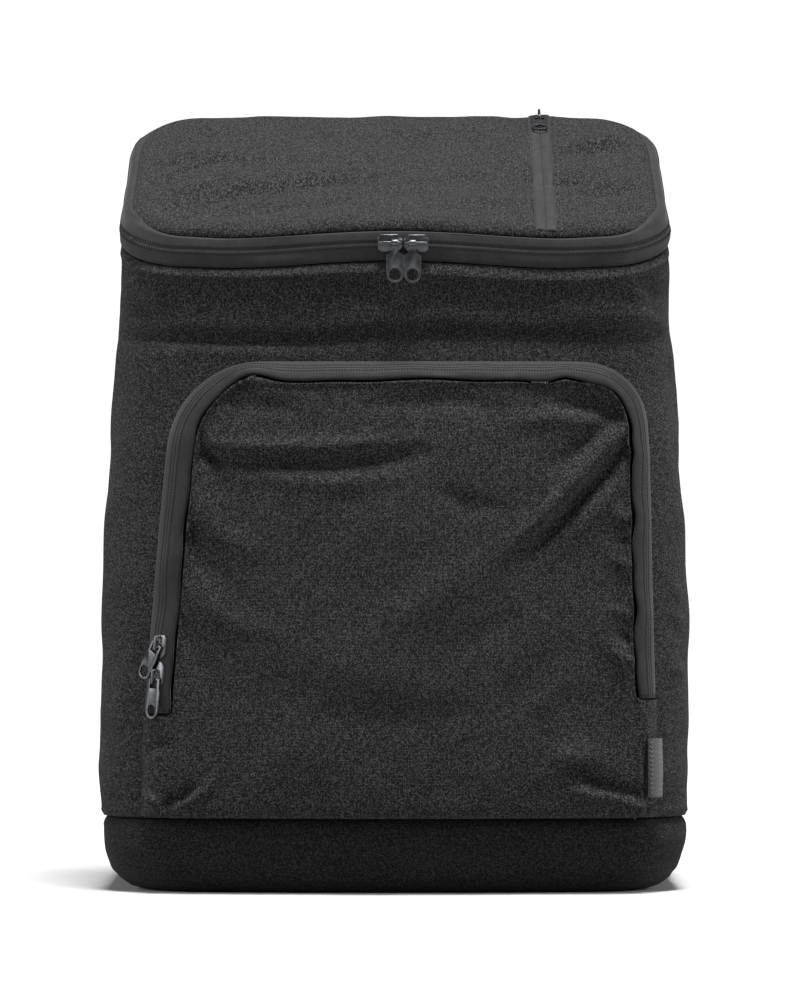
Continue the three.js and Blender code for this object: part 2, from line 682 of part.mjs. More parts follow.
// Slider in its own frame: x along the zip, y across it, z out of the tape; z is 0 on the tape's face.
function sliderGeometry(noseReach) {
  const { length, width, plate, lift, waist, cheek, nose } = SLIDER;
  const half = length / 2;
  const outline = [
    [-half, -waist / 2], [-half + cheek, -width / 2], [half - nose, -width / 2], [half, -waist / 2 + 1],
    [half, waist / 2 - 1], [half - nose, width / 2], [-half + cheek, width / 2], [-half, waist / 2],
  ];
  const top = extruded(outline, plate).translate(0, 0, lift);
  const under = box(length - 2 * cheek, waist - 2, UNDER_PLATE, 0, 0, -GRIP - UNDER_PLATE / 2);
  const neckHeight = GRIP + lift + NECK.bite;
  const neck = box(NECK.length, NECK.width, neckHeight, half - NECK.behind, 0, (lift - GRIP) / 2);
  const base = lift + plate - BRIDGE.sunk;
  const head = BRIDGE.opening + BRIDGE.bar + BRIDGE.sunk;
  const { bar } = BRIDGE;
  const arch = [
    [-FULL_BRIDGE, 0], [-FULL_BRIDGE, head - bar / 2], [-FULL_BRIDGE + bar / 2, head],
    [noseReach - bar / 2, head], [noseReach, head - bar / 2], [noseReach, 0], [noseReach - bar, 0],
    [noseReach - bar, head - bar], [-FULL_BRIDGE + bar, head - bar], [-FULL_BRIDGE + bar, 0],
  ];
  const bridge = extruded(arch, BRIDGE.width).rotateX(Math.PI / 2).translate(0, BRIDGE.width / 2, base);
  return joined([top, under, neck, bridge]);
}

const NECK_SLOT = {
  length: NECK.length + 2 * GAP,
  width: NECK.width + 2 * GAP,
  at: SLIDER.length / 2 - NECK.behind,
};

const ROUND_STEPS = 10;

// Pull in its own frame: x along its hinge, y up, z out of the tape; it hangs down from the origin.
function pullGeometry(folded) {
  const { width, length, thick, hole, neck, shoulder, slope } = PULL;
  const half = width / 2;
  const top = folded ? -KNUCKLE.outer + 0.4 : EYE.bar / 2;
  const topHalf = folded ? neck / 2 : EYE.halfWidth + EYE.rim;
  const outline = [[-topHalf, top], [-topHalf, -shoulder + slope], [-half, -shoulder]];
  const centre = -length + half;
  for (let i = 0; i <= ROUND_STEPS; i += 1) {
    const angle = Math.PI + (i / ROUND_STEPS) * Math.PI;
    outline.push([half * Math.cos(angle), centre + half * Math.sin(angle)]);
  }
  outline.push([half, -shoulder], [topHalf, -shoulder + slope], [topHalf, top]);
  const grip = new THREE.Path();
  grip.absarc(0, centre, hole / 2, 0, 2 * Math.PI, true);
  const holes = [grip];
  if (!folded) {
    const eye = new THREE.Path();
    const [high, low] = [-EYE.bar / 2, -EYE.bar / 2 - EYE.length];
    eye.moveTo(-EYE.halfWidth, high).lineTo(EYE.halfWidth, high).lineTo(EYE.halfWidth, low);
    eye.lineTo(-EYE.halfWidth, low).lineTo(-EYE.halfWidth, high);
    holes.push(eye);
  }
  const plate = extruded(outline, thick, holes).translate(0, 0, -thick / 2);
  if (!folded) return plate;
  const ring = new THREE.Shape().absarc(0, 0, KNUCKLE.outer, 0, 2 * Math.PI);
  const bore = new THREE.Path();
  bore.absarc(0, 0, KNUCKLE.inner, 0, 2 * Math.PI, true);
  ring.holes.push(bore);
  const knuckle = new THREE.ExtrudeGeometry(ring, { depth: neck, bevelEnabled: false, curveSegments: 6 });
  knuckle.rotateY(Math.PI / 2).translate(-neck / 2, 0, 0);
  return joined([plate, knuckle]);
}

const FOLDED_HINGE = SLIDER.lift + SLIDER.plate + BRIDGE.opening + BRIDGE.bar / 2;
const EYE_HINGE = SLIDER.lift + SLIDER.plate + BRIDGE.opening / 2;
const FULL_BRIDGE = SLIDER.length / 2 - BRIDGE.bar / 2;
const EYE_BACK = BRIDGE.bar + GAP + EYE.bar * 0.75; // from the end of the bridge to the pull's hinge

// A frame on a tape: a point, the direction out of the tape and the direction of the zip's run, which is
// turned about where the slider faces the other way.
function onTape(point, normal, run, turned = 1) {
  const along = run.clone().multiplyScalar(turned);
  const across = normal.clone().cross(along).normalize();
  return new THREE.Matrix4().makeBasis(along, across, normal).setPosition(point);
}

function placeSlider(name, point, normal, run, turned = 1, noseReach = FULL_BRIDGE) {
  const slider = namedMesh(name, sliderGeometry(noseReach), GUNMETAL);
  slider.applyMatrix4(onTape(point, normal, run, turned));
  return slider;
}

function placePull(name, pivot, normal, up, folded) {
  const pull = namedMesh(name, pullGeometry(folded), GUNMETAL);
  const axis = up.clone().cross(normal);
  pull.applyMatrix4(new THREE.Matrix4().makeBasis(axis, up, normal).setPosition(pivot));
  return pull;
}

const THROUGH = 14; // a cutter's depth through any tape

// A cutter for the slot that the slider's neck passes through.
function neckSlot(point, normal, run, turned = 1) {
  const slot = box(NECK_SLOT.length, NECK_SLOT.width, THROUGH, NECK_SLOT.at, 0, 0);
  return slot.applyMatrix4(onTape(point, normal, run, turned));
}

// A cutter for the room that the slider's plate behind the tape takes.
function underPlateRecess(point, normal, run) {
  const depth = UNDER_PLATE + GAP;
  const above = 1; // how far the cutter reaches over the cloth
  const room = box(SLIDER.length, SLIDER.waist, depth + 2 * above, 0, 0, -GRIP - depth / 2 + above);
  return room.applyMatrix4(onTape(point, normal, run));
}

const BAND_EDGE = 0.7; // thickness of a band's edges, as a share of its middle's

// A flat band swept along a line, its width along the given side direction.
function sweptBand(name, stations, side, finish) {
  const curve = new THREE.CatmullRomCurve3(stations.map(({ at }) => at));
  const steps = stations.length - 1;
  const faces = (sign) => stations.map(({ at, width, thick }, i) => {
    const tangent = curve.getTangent(i / steps);
    const normal = tangent.clone().cross(side).normalize();
    return [-1, -0.8, 0, 0.8, 1].map((c) => {
      const half = (thick / 2) * (Math.abs(c) === 1 ? BAND_EDGE : 1);
      return at.clone().addScaledVector(side, (c * width) / 2).addScaledVector(normal, sign * half);
    });
  });
  return gridSolid(name, faces(1), faces(-1), finish);
}

function smoothStations(rows, steps) {
  const curve = new THREE.CatmullRomCurve3(rows.map(({ at }) => at));
  return spaced(0, 1, steps).map((t) => {
    const place = t * (rows.length - 1);
    const i = Math.min(Math.floor(place), rows.length - 2);
    const mix = (key) => rows[i][key] + (rows[i + 1][key] - rows[i][key]) * (place - i);
    return { at: curve.getPoint(t), width: mix("width"), thick: mix("thick") };
  });
}

const LOCK_X = HALF * 0.545;
const LOCK_Y = BACK + LOCK_OUT;
const LOCK_BAR_Z = LOCK_Z + LOCK.height / 2 - LOCK.bar / 2; // the bar that the strap's end holds

function shoulderStrap(side) {
  const sign = side === "left" ? -1 : 1;
  const rows = STRAP_LINE.map((row) => ({
    at: vec(sign * HALF * row.side, BACK + row.out * DEPTH, row.height * FRONT_HEIGHT),
    width: STRAP.width * row.width,
    thick: STRAP.thick,
  }));
  const end = { width: LOCK.width - 2 * LOCK.rail - 6 * GAP, thick: STRAP.thick };
  rows.push({ at: vec(sign * LOCK_X, LOCK_Y, LOCK_BAR_Z + STRAP.straight), ...end });
  rows.push({ at: vec(sign * LOCK_X, LOCK_Y, LOCK_BAR_Z - LOCK.bar / 2 - 8 * GAP), ...end });
  const stations = [...smoothStations(rows.slice(0, -1), 20), rows[rows.length - 1]];
  const strap = sweptBand(`shoulder_strap_${side}`, stations, vec(1, 0, 0), MESH_CLOTH);
  const tunnel = LOCK.bar + 2 * GAP;
  return cut(strap, [box(STRAP.width, LOCK.thick + 2 * GAP, tunnel, sign * LOCK_X, LOCK_Y, LOCK_BAR_Z)]);
}

function ladderLock(side) {
  const sign = side === "left" ? -1 : 1;
  const { width, height, thick, bar, rail, chamfer: c } = LOCK;
  const [w, h] = [width / 2, height / 2];
  const outline = [
    [-w, -h + c], [-w + c, -h], [w - c, -h], [w, -h + c],
    [w, h - c], [w - c, h], [-w + c, h], [-w, h - c],
  ];
  const slot = (low, high) => {
    const path = new THREE.Path();
    path.moveTo(-w + rail, low).lineTo(-w + rail, high).lineTo(w - rail, high).lineTo(w - rail, low);
    return path.lineTo(-w + rail, low);
  };
  const holes = [slot(bar / 2, h - bar), slot(-h + bar, -bar / 2)];
  const geometry = extruded(outline, thick, holes).translate(0, 0, -thick / 2).rotateX(Math.PI / 2);
  const lock = namedMesh(`ladder_lock_${side}`, geometry, NYLON);
  lock.position.set(sign * LOCK_X, LOCK_Y, LOCK_Z);
  return lock;
}

// Webbing from the lower corner up behind the lock, through its upper slot and down in front as a tail.
function strapWebbing(side) {
  const sign = side === "left" ? -1 : 1;
  const { thick, bar } = LOCK;
  const beside = thick / 2 + WEBBING.thick / 2 + WEBBING.slack;
  const over = LOCK_Z + bar / 2;
  const anchorOut = BACK + GAP + ANCHOR.thick + GAP + WEBBING.thick / 2;
  const line = [
    [ANCHOR.x, anchorOut + 0.1, ANCHOR.z - 9],
    [ANCHOR.x - 3, anchorOut + 0.2, ANCHOR.z + 6],
    [ANCHOR.x - 16, anchorOut + 6, ANCHOR.z + 34],
    [LOCK_X + 2, LOCK_Y - beside - 0.8, LOCK_Z - 16],
    [LOCK_X, LOCK_Y - beside, LOCK_Z - 4],
    [LOCK_X, LOCK_Y - beside, over - 0.5],
    [LOCK_X, LOCK_Y - beside + 0.7, over + 1.8],
    [LOCK_X, LOCK_Y, over + 2.9],
    [LOCK_X, LOCK_Y + beside - 0.7, over + 1.8],
    [LOCK_X, LOCK_Y + beside, over - 0.5],
    [LOCK_X, LOCK_Y + beside, LOCK_Z - 12],
    [LOCK_X, LOCK_Y + beside + 1, LOCK_Z - 30],
    [LOCK_X, LOCK_Y + beside, LOCK_Z - 62],
  ];
  const { width } = WEBBING;
  const stations = line.map(([x, y, z]) => ({ at: vec(sign * x, y, z), width, thick: WEBBING.thick }));
  return sweptBand(`strap_webbing_${side}`, stations, vec(1, 0, 0), NYLON);
}

function strapAnchor(side) {
  const sign = side === "left" ? -1 : 1;
  const { width, height, thick, x, z } = ANCHOR;
  const [w, h] = [width / 2, height / 2];
  const outline = [[-w, -h], [w, -h], [w, h * 0.2], [w * 0.4, h], [-w * 0.7, h], [-w, h * 0.5]];
  const placed = outline.map(([across, up]) => [x + across, z + up]);
  const geometry = extruded(placed, thick).rotateX(Math.PI / 2).translate(0, BACK + GAP + thick, 0);
  if (sign < 0) geometry.rotateZ(Math.PI).translate(0, 2 * (BACK + GAP) + thick, 0);
  return namedMesh(`strap_anchor_${side}`, geometry, HEATHER);
}

function haulHandle() {
  const { half, reach, width, thick, z } = HANDLE;
  const near = BACK + GAP + thick / 2;
  const rows = [
    [-1, 0.02], [-0.88, 0.02], [-0.74, 0.12], [-0.5, 0.68], [-0.25, 0.93], [0, 1],
    [0.25, 0.93], [0.5, 0.68], [0.74, 0.12], [0.88, 0.02], [1, 0.02],
  ];
  const stations = rows.map(([x, out]) => ({ at: vec(x * half, near + out * reach, z), width, thick }));
  return sweptBand("haul_handle", stations, vec(0, 0, 1), NYLON);
}

// Body and lid
const mainTape = mainZipTape();
const lid = lidPanel();
bag.add(baseTub(), bodyShell(), backPanel(), lid);

// Main zip
function mainZipAt(x) {
  const y = wallSection(FRONT_HEIGHT + BAND_RAISE).front - 2;
  return vec(x, y, rimHeight(x, y) + BAND_HEIGHT - COIL_DROP);
}

const outward = vec(0, -1, 0);
for (const side of ["left", "right"]) {
  const turned = side === "left" ? 1 : -1;
  const point = mainZipAt(MAIN_SLIDER_X[side]);
  bag.add(placeSlider(`main_zip_slider_${side}`, point, outward, vec(1, 0, 0), turned));
  const pivot = vec(MAIN_PULL_X[side], point.y - FOLDED_HINGE, point.z);
  bag.add(placePull(`main_zip_pull_${side}`, pivot, outward, vec(0, 0, 1), true));
  cut(mainTape, [neckSlot(point, outward, vec(1, 0, 0), turned)]);
}
bag.add(mainTape);

// Lid zip
const lidTape = lidStrip(LID_ZIP_WIDTH / 2, -TAPE - GAP, -GAP);
const lidRun = vec(0, DEPTH, LID_RISE).normalize();
const lidOut = vec(0, -LID_RISE, DEPTH).normalize();
const lidPoint = vec(LID_ZIP_X, LID_SLIDER_Y, lidTop(LID_ZIP_X, LID_SLIDER_Y) - GAP);
const lidPivot = lidPoint.clone().addScaledVector(lidOut, EYE_HINGE);
lidPivot.addScaledVector(lidRun, EYE_BACK - FULL_BRIDGE);
bag.add(placeSlider("lid_zip_slider", lidPoint, lidOut, lidRun));
bag.add(placePull("lid_zip_pull", lidPivot, lidOut, lidRun, false));
bag.add(cut(lidTape, [neckSlot(lidPoint, lidOut, lidRun)]));
cut(lid, [underPlateRecess(lidPoint, lidOut, lidRun)]);

// Front pocket
const pocketTapeMesh = pocketTape();
bag.add(pocketPanel(), pocketGusset("left", ZIP_END_LEFT), pocketGusset("right", ZIP_END_RIGHT), seamLoop());
for (const [name, z] of Object.entries(POCKET_SLIDER_Z)) {
  const at = (height, share) => bandPoint(pocketStation("left", height), share, TAPE, false);
  const point = at(z, 0.5);
  const run = at(z + 6, 0.5).sub(at(z - 6, 0.5)).normalize();
  const out = at(z, 0.65).sub(at(z, 0.3)).cross(run).normalize();
  if (out.y > 0) out.negate();
  const turned = name === "upper" ? -1 : 1;
  bag.add(placeSlider(`pocket_zip_slider_${name}`, point, out, run, turned, SHORT_BRIDGE));
  const hangs = name === "upper" ? THREE.MathUtils.degToRad(-UPPER_PULL_TURN) : 0;
  const up = run.clone().applyAxisAngle(out, hangs);
  const turnedRoom = BRIDGE.width * Math.sin(Math.abs(hangs));
  const below = name === "upper" ? SHORT_BRIDGE : FULL_BRIDGE;
  const pivot = point.clone().addScaledVector(out, EYE_HINGE);
  pivot.addScaledVector(run, EYE_BACK + turnedRoom - below);
  bag.add(placePull(`pocket_zip_pull_${name}`, pivot, out, up, false));
  cut(pocketTapeMesh, [neckSlot(point, out, run, turned)]);
}
bag.add(pocketTapeMesh);

// Carrying parts
bag.add(haulHandle());
for (const side of ["left", "right"]) {
  bag.add(shoulderStrap(side), ladderLock(side), strapWebbing(side), strapAnchor(side));
}

export default bag;
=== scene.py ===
import math

import bpy
import numpy as np
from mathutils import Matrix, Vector


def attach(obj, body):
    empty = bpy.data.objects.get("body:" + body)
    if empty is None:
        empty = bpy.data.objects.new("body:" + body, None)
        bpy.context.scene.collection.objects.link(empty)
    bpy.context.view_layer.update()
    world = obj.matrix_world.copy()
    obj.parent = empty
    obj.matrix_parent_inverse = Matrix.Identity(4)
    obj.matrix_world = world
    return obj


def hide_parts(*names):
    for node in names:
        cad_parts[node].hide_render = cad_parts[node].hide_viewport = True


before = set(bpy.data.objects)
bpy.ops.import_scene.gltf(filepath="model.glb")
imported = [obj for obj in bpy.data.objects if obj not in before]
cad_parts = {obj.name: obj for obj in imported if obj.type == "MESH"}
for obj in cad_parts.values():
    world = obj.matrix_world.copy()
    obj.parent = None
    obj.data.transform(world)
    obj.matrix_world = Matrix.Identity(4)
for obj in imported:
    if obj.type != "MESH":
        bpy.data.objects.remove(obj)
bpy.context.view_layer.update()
bpy.ops.object.select_all(action="DESELECT")

# Camera
# A long lens, level with the bag's middle and 3.5 m in front of it.
camera_data = bpy.data.cameras.new("camera")
camera_data.sensor_fit = "VERTICAL"
camera_data.sensor_height = 36
camera_data.lens = 231.5
camera_data.clip_end = 30
camera = bpy.data.objects.new("camera", camera_data)
camera.location = (0, -3.5, 0.2089)
camera.rotation_euler = (math.radians(90), 0, 0)
bpy.context.scene.collection.objects.link(camera)
bpy.context.scene.camera = camera


# Floor and studio light
# A matt studio floor that reaches out of every view, under one broad high lamp and a soft lamp at
# each side. It is lit to white, and what lies beyond it is white.
def linear(hex_colour):
    shares = [int(hex_colour[i : i + 2], 16) / 255 for i in (1, 3, 5)]
    return [s / 12.92 if s <= 0.04045 else ((s + 0.055) / 1.055) ** 2.4 for s in shares] + [1.0]


def node(tree, kind, inputs=None, **settings):
    """Adds a node. An input given as a socket is linked to it, and one given as a node to its first output."""
    made = tree.nodes.new(kind)
    for name, value in settings.items():
        setattr(made, name, value)
    for socket, value in (inputs or {}).items():
        if isinstance(value, bpy.types.Node):
            value = value.outputs[0]
        if isinstance(value, bpy.types.NodeSocket):
            tree.links.new(value, made.inputs[socket])
        else:
            made.inputs[socket].default_value = value
    return made


def new_material(name):
    material = bpy.data.materials.new(name)
    material.use_nodes = True
    tree = material.node_tree
    return material, tree, tree.nodes["Principled BSDF"]


def coloured(tree, shader, tone, stops, bump=None):
    """Colours the surface by the stops of a ramp over a tone, and gives it a bump node's relief."""
    colour = node(tree, "ShaderNodeValToRGB", {"Fac": tone})
    elements = colour.color_ramp.elements
    while len(elements) < len(stops):
        elements.new(0.5)
    for element, (position, hex_colour) in zip(elements, stops):
        element.position = position
        element.color = linear(hex_colour)
    tree.links.new(colour.outputs["Color"], shader.inputs["Base Color"])
    if bump:
        tree.links.new(bump.outputs["Normal"], shader.inputs["Normal"])


# Matt floor paint: a faint tooth and no gloss, so that it shows no lamp.
studio_floor, tree, shader = new_material("studio_floor")
place = node(tree, "ShaderNodeTexCoord")
tooth = node(tree, "ShaderNodeTexNoise", {"Vector": place.outputs["Object"], "Scale": 900.0, "Detail": 2.0})
bump = node(tree, "ShaderNodeBump", {"Height": tooth, "Strength": 0.05, "Distance": 0.0002})
tree.links.new(bump.outputs["Normal"], shader.inputs["Normal"])
shader.inputs["Base Color"].default_value = linear("#9f9f9f")
shader.inputs["Roughness"].default_value = 0.9
shader.inputs["Specular IOR Level"].default_value = 0.1

FLOOR_REACH = 30.0
floor_corners = [(FLOOR_REACH * x, FLOOR_REACH * y, 0.0) for x, y in ((-1, -1), (1, -1), (1, 1), (-1, 1))]
floor_mesh = bpy.data.meshes.new("studio_floor")
floor_mesh.from_pydata(floor_corners, [], [(0, 1, 2, 3)])
floor_mesh.materials.append(studio_floor)
studio = bpy.data.objects.new("studio_floor", floor_mesh)
bpy.context.scene.collection.objects.link(studio)

# Seen directly the surroundings are white, while the light they give is dim and even.
AMBIENT, SEEN = 0.14, 1.1
world = bpy.data.worlds.new("studio")
world.use_nodes = True
ray = node(world.node_tree, "ShaderNodeLightPath")
strength = node(
    world.node_tree, "ShaderNodeMapRange",
    {"Value": ray.outputs["Is Camera Ray"], "To Min": AMBIENT, "To Max": SEEN},
)
background = world.node_tree.nodes["Background"]
background.inputs["Color"].default_value = linear("#ffffff")
world.node_tree.links.new(strength.outputs["Result"], background.inputs["Strength"])
bpy.context.scene.world = world
bpy.context.scene.view_settings.view_transform = "Standard"

LAMP_AIM = Vector((0, 0, 0.2))
LAMPS = [
    {"name": "lamp_left", "kind": "AREA", "at": (-2.3, -0.7, 0.9), "size": 1.3, "power": 50},
    {"name": "lamp_right", "kind": "AREA", "at": (2.3, -0.8, 0.9), "size": 1.3, "power": 50},
    {"name": "lamp_above", "kind": "SUN", "at": (0.15, -0.42, 2.5), "size": math.radians(20), "power": 10.2},
]
for row in LAMPS:
    lamp_data = bpy.data.lights.new(row["name"], row["kind"])
    if row["kind"] == "SUN":
        lamp_data.angle = row["size"]
    else:
        lamp_data.shape = "SQUARE"
        lamp_data.size = row["size"]
    lamp_data.energy = row["power"]
    lamp = bpy.data.objects.new(row["name"], lamp_data)
    lamp.location = row["at"]
    lamp.rotation_euler = (LAMP_AIM - lamp.location).to_track_quat("-Z", "Y").to_euler()
    bpy.context.scene.collection.objects.link(lamp)


# Walls
# One long panel of heathered polyester, foam-backed, runs from the back seam round the front to the
# back seam. A crease crosses its upper front, its top edge is turned over at the zip's seam, and its
# corners carry short pulls.
MM = 0.001
WIDTH, DEPTH = 316.0, 190.0
HALF, BACK = WIDTH / 2, DEPTH / 2
FRONT_HEIGHT, LID_RISE, BASE_HEIGHT = 329.0, 74.0, 40.0
SLOPE = LID_RISE / DEPTH
CORNER, BOW = 38.0, 7.0
PANEL_FRONT = 85.0
WALL_THICK = 4.5

# height, half width, distance of the front
WALL_LINE = np.array([
    (39.5, 156.7, 93.6), (65.8, 158.0, 95.0), (131.6, 156.4, 95.0), (197.4, 154.4, 95.0),
    (240.2, 151.2, 94.5), (269.8, 148.7, 92.6), (286.2, 148.0, 90.7), (294.5, 147.6, 87.9),
    (309.3, 147.1, 89.8), (329.0, 147.3, 93.1), (368.5, 145.0, 93.1), (399.1, 144.1, 93.1),
    (407.0, 142.7, 93.1), (410.3, 140.3, 93.1), (413.9, 136.0, 93.1), (417.2, 129.2, 93.1),
    (420.5, 120.1, 93.1),
])


def wall_value(column, z, spread):
    """A column of WALL_LINE at height z, evened out over spread millimetres above and below."""
    return sum(
        weight * np.interp(z + step * spread, WALL_LINE[:, 0], WALL_LINE[:, column])
        for step, weight in ((-1, 0.25), (0, 0.5), (1, 0.25))
    )


def wall_half(z):
    return wall_value(1, z, 3)


def wall_front(z):
    return -wall_value(2, z, 4)


def wall_point(share, z, inset=0.0, back=PANEL_FRONT - 0.3):
    """A place on the walls: share is -1 at the back left, 0 at the front's middle, 1 at the back right."""
    half = wall_half(z) - inset
    front = wall_front(z) + inset
    corner = CORNER - inset
    straight = half - corner
    side = front + BOW + corner
    run = np.abs(share) * (straight + corner * math.pi / 2 + back - side)
    angle = np.clip((run - straight) / corner, 0, math.pi / 2)
    behind = np.maximum(0, run - straight - corner * math.pi / 2)
    x = np.where(run <= straight, run, straight + corner * np.sin(angle))
    y = np.where(run <= straight, front + BOW * (run / straight) ** 2, front + BOW + corner * (1 - np.cos(angle)))
    return np.stack([np.sign(share) * x, y + behind, z + 0 * x], -1)


def rim_height(x, y):
    to_front = np.clip(-y / BACK, 0, 1) ** 2
    middle = np.maximum(0, 1 - (x / (0.62 * HALF)) ** 2) ** 2
    return FRONT_HEIGHT + SLOPE * (y + BACK) + 6.0 * middle * to_front


def rim_point(share, inset=0.0, lift=0.0):
    place = wall_point(share, FRONT_HEIGHT + 0 * share, inset)
    for _ in range(5):
        place = wall_point(share, rim_height(place[..., 0], place[..., 1]) + lift, inset)
    place[..., 2] = rim_height(place[..., 0], place[..., 1]) + lift
    return place


def folds(a, b, rows):
    """Height of the folds in rows at places a across and b up. A row is the points of a fold's line, its
    width and its height."""
    total = np.zeros(np.broadcast(a, b).shape)
    for points, wide, high in rows:
        lengths = [math.dist(p, q) for p, q in zip(points, points[1:])]
        nearest = np.full(total.shape, 1e9)
        way = np.zeros(total.shape)
        for k, ((a0, b0), (a1, b1)) in enumerate(zip(points, points[1:])):
            da, db = a1 - a0, b1 - b0
            along = np.clip(((a - a0) * da + (b - b0) * db) / (da * da + db * db), 0, 1)
            off = (a - a0 - along * da) ** 2 + (b - b0 - along * db) ** 2
            closer = off < nearest
            nearest = np.where(closer, off, nearest)
            way = np.where(closer, (sum(lengths[:k]) + along * lengths[k]) / sum(lengths), way)
        total += high * np.exp(-nearest / wide**2) * (0.25 + 0.75 * np.sin(math.pi * way))
    return total


def sway(a, b, seed, size, height):
    """The soft unevenness of cloth: waves of about one size in all directions."""
    random = np.random.default_rng(seed)
    total = np.zeros(np.broadcast(a, b).shape)
    for _ in range(9):
        turn = random.uniform(0, math.pi)
        pace = 2 * math.pi / (size * random.uniform(0.6, 1.6))
        total += np.sin(pace * (a * math.cos(turn) + b * math.sin(turn)) + random.uniform(0, 2 * math.pi))
    return height * total / 3


def grid_normals(grid, outward):
    down = np.gradient(grid, axis=0)
    across = np.gradient(grid, axis=1)
    normal = np.cross(across, down)
    normal /= np.maximum(np.linalg.norm(normal, axis=-1, keepdims=True), 1e-9)
    middle = normal[grid.shape[0] // 2, grid.shape[1] // 2]
    return normal if np.dot(middle, outward) > 0 else -normal


def pushed(grid, heights, outward=(0, -1, 0)):
    return grid + grid_normals(grid, outward) * np.asarray(heights)[..., None]


def squares(table):
    """The four corners of each cell in a table of point numbers."""
    return np.stack([table[:-1, :-1], table[:-1, 1:], table[1:, 1:], table[1:, :-1]], -1).reshape(-1, 4)


def cloth(name, grid, material, closed=False, uv=None, outward=(0, -1, 0)):
    """A sheet through a grid of points in millimetres, with a UV map in metres of its own cloth."""
    rows, cols = grid.shape[:2]
    index = np.arange(rows * cols).reshape(rows, cols)
    if closed:
        index = np.concatenate([index, index[:, :1]], 1)
    quads = squares(index)
    uv_quads = squares(np.arange(index.size).reshape(index.shape))
    corners = grid.reshape(-1, 3)[quads]
    facing = np.cross(corners[:, 2] - corners[:, 0], corners[:, 3] - corners[:, 1])
    probe = facing[(rows // 2 - (rows > 2)) * (index.shape[1] - 1) + index.shape[1] // 2 - 1]
    if np.dot(probe, outward) < 0:
        quads, uv_quads = quads[:, ::-1], uv_quads[:, ::-1]
    mesh = bpy.data.meshes.new(name)
    mesh.from_pydata((grid.reshape(-1, 3) * MM).tolist(), [], quads.tolist())
    if uv is None:
        wrapped = np.concatenate([grid, grid[:, :1]], 1) if closed else grid
        steps = np.linalg.norm(np.diff(wrapped, axis=1), axis=-1).mean(0)
        lines = np.linalg.norm(np.diff(grid, axis=0), axis=-1).mean(1)
        u, v = np.meshgrid(np.append(0, np.cumsum(steps)), np.append(0, np.cumsum(lines)))
        uv = np.stack([u, v], -1)
    spread = uv[:, : index.shape[1]].reshape(-1, 2)[uv_quads.reshape(-1)] * MM
    mesh.uv_layers.new(name="cloth").data.foreach_set("uv", spread.astype(np.float32).reshape(-1))
    mesh.materials.append(material)
    mesh.shade_smooth()
    piece = bpy.data.objects.new(name, mesh)
    bpy.context.scene.collection.objects.link(piece)
    return piece


def select_only(piece):
    bpy.ops.object.select_all(action="DESELECT")
    piece.select_set(True)
    bpy.context.view_layer.objects.active = piece


def apply_modifier(piece, kind, **settings):
    select_only(piece)
    modifier = piece.modifiers.new(kind.lower(), kind)
    for name, value in settings.items():
        setattr(modifier, name, value)
    bpy.ops.object.modifier_apply(modifier=modifier.name)


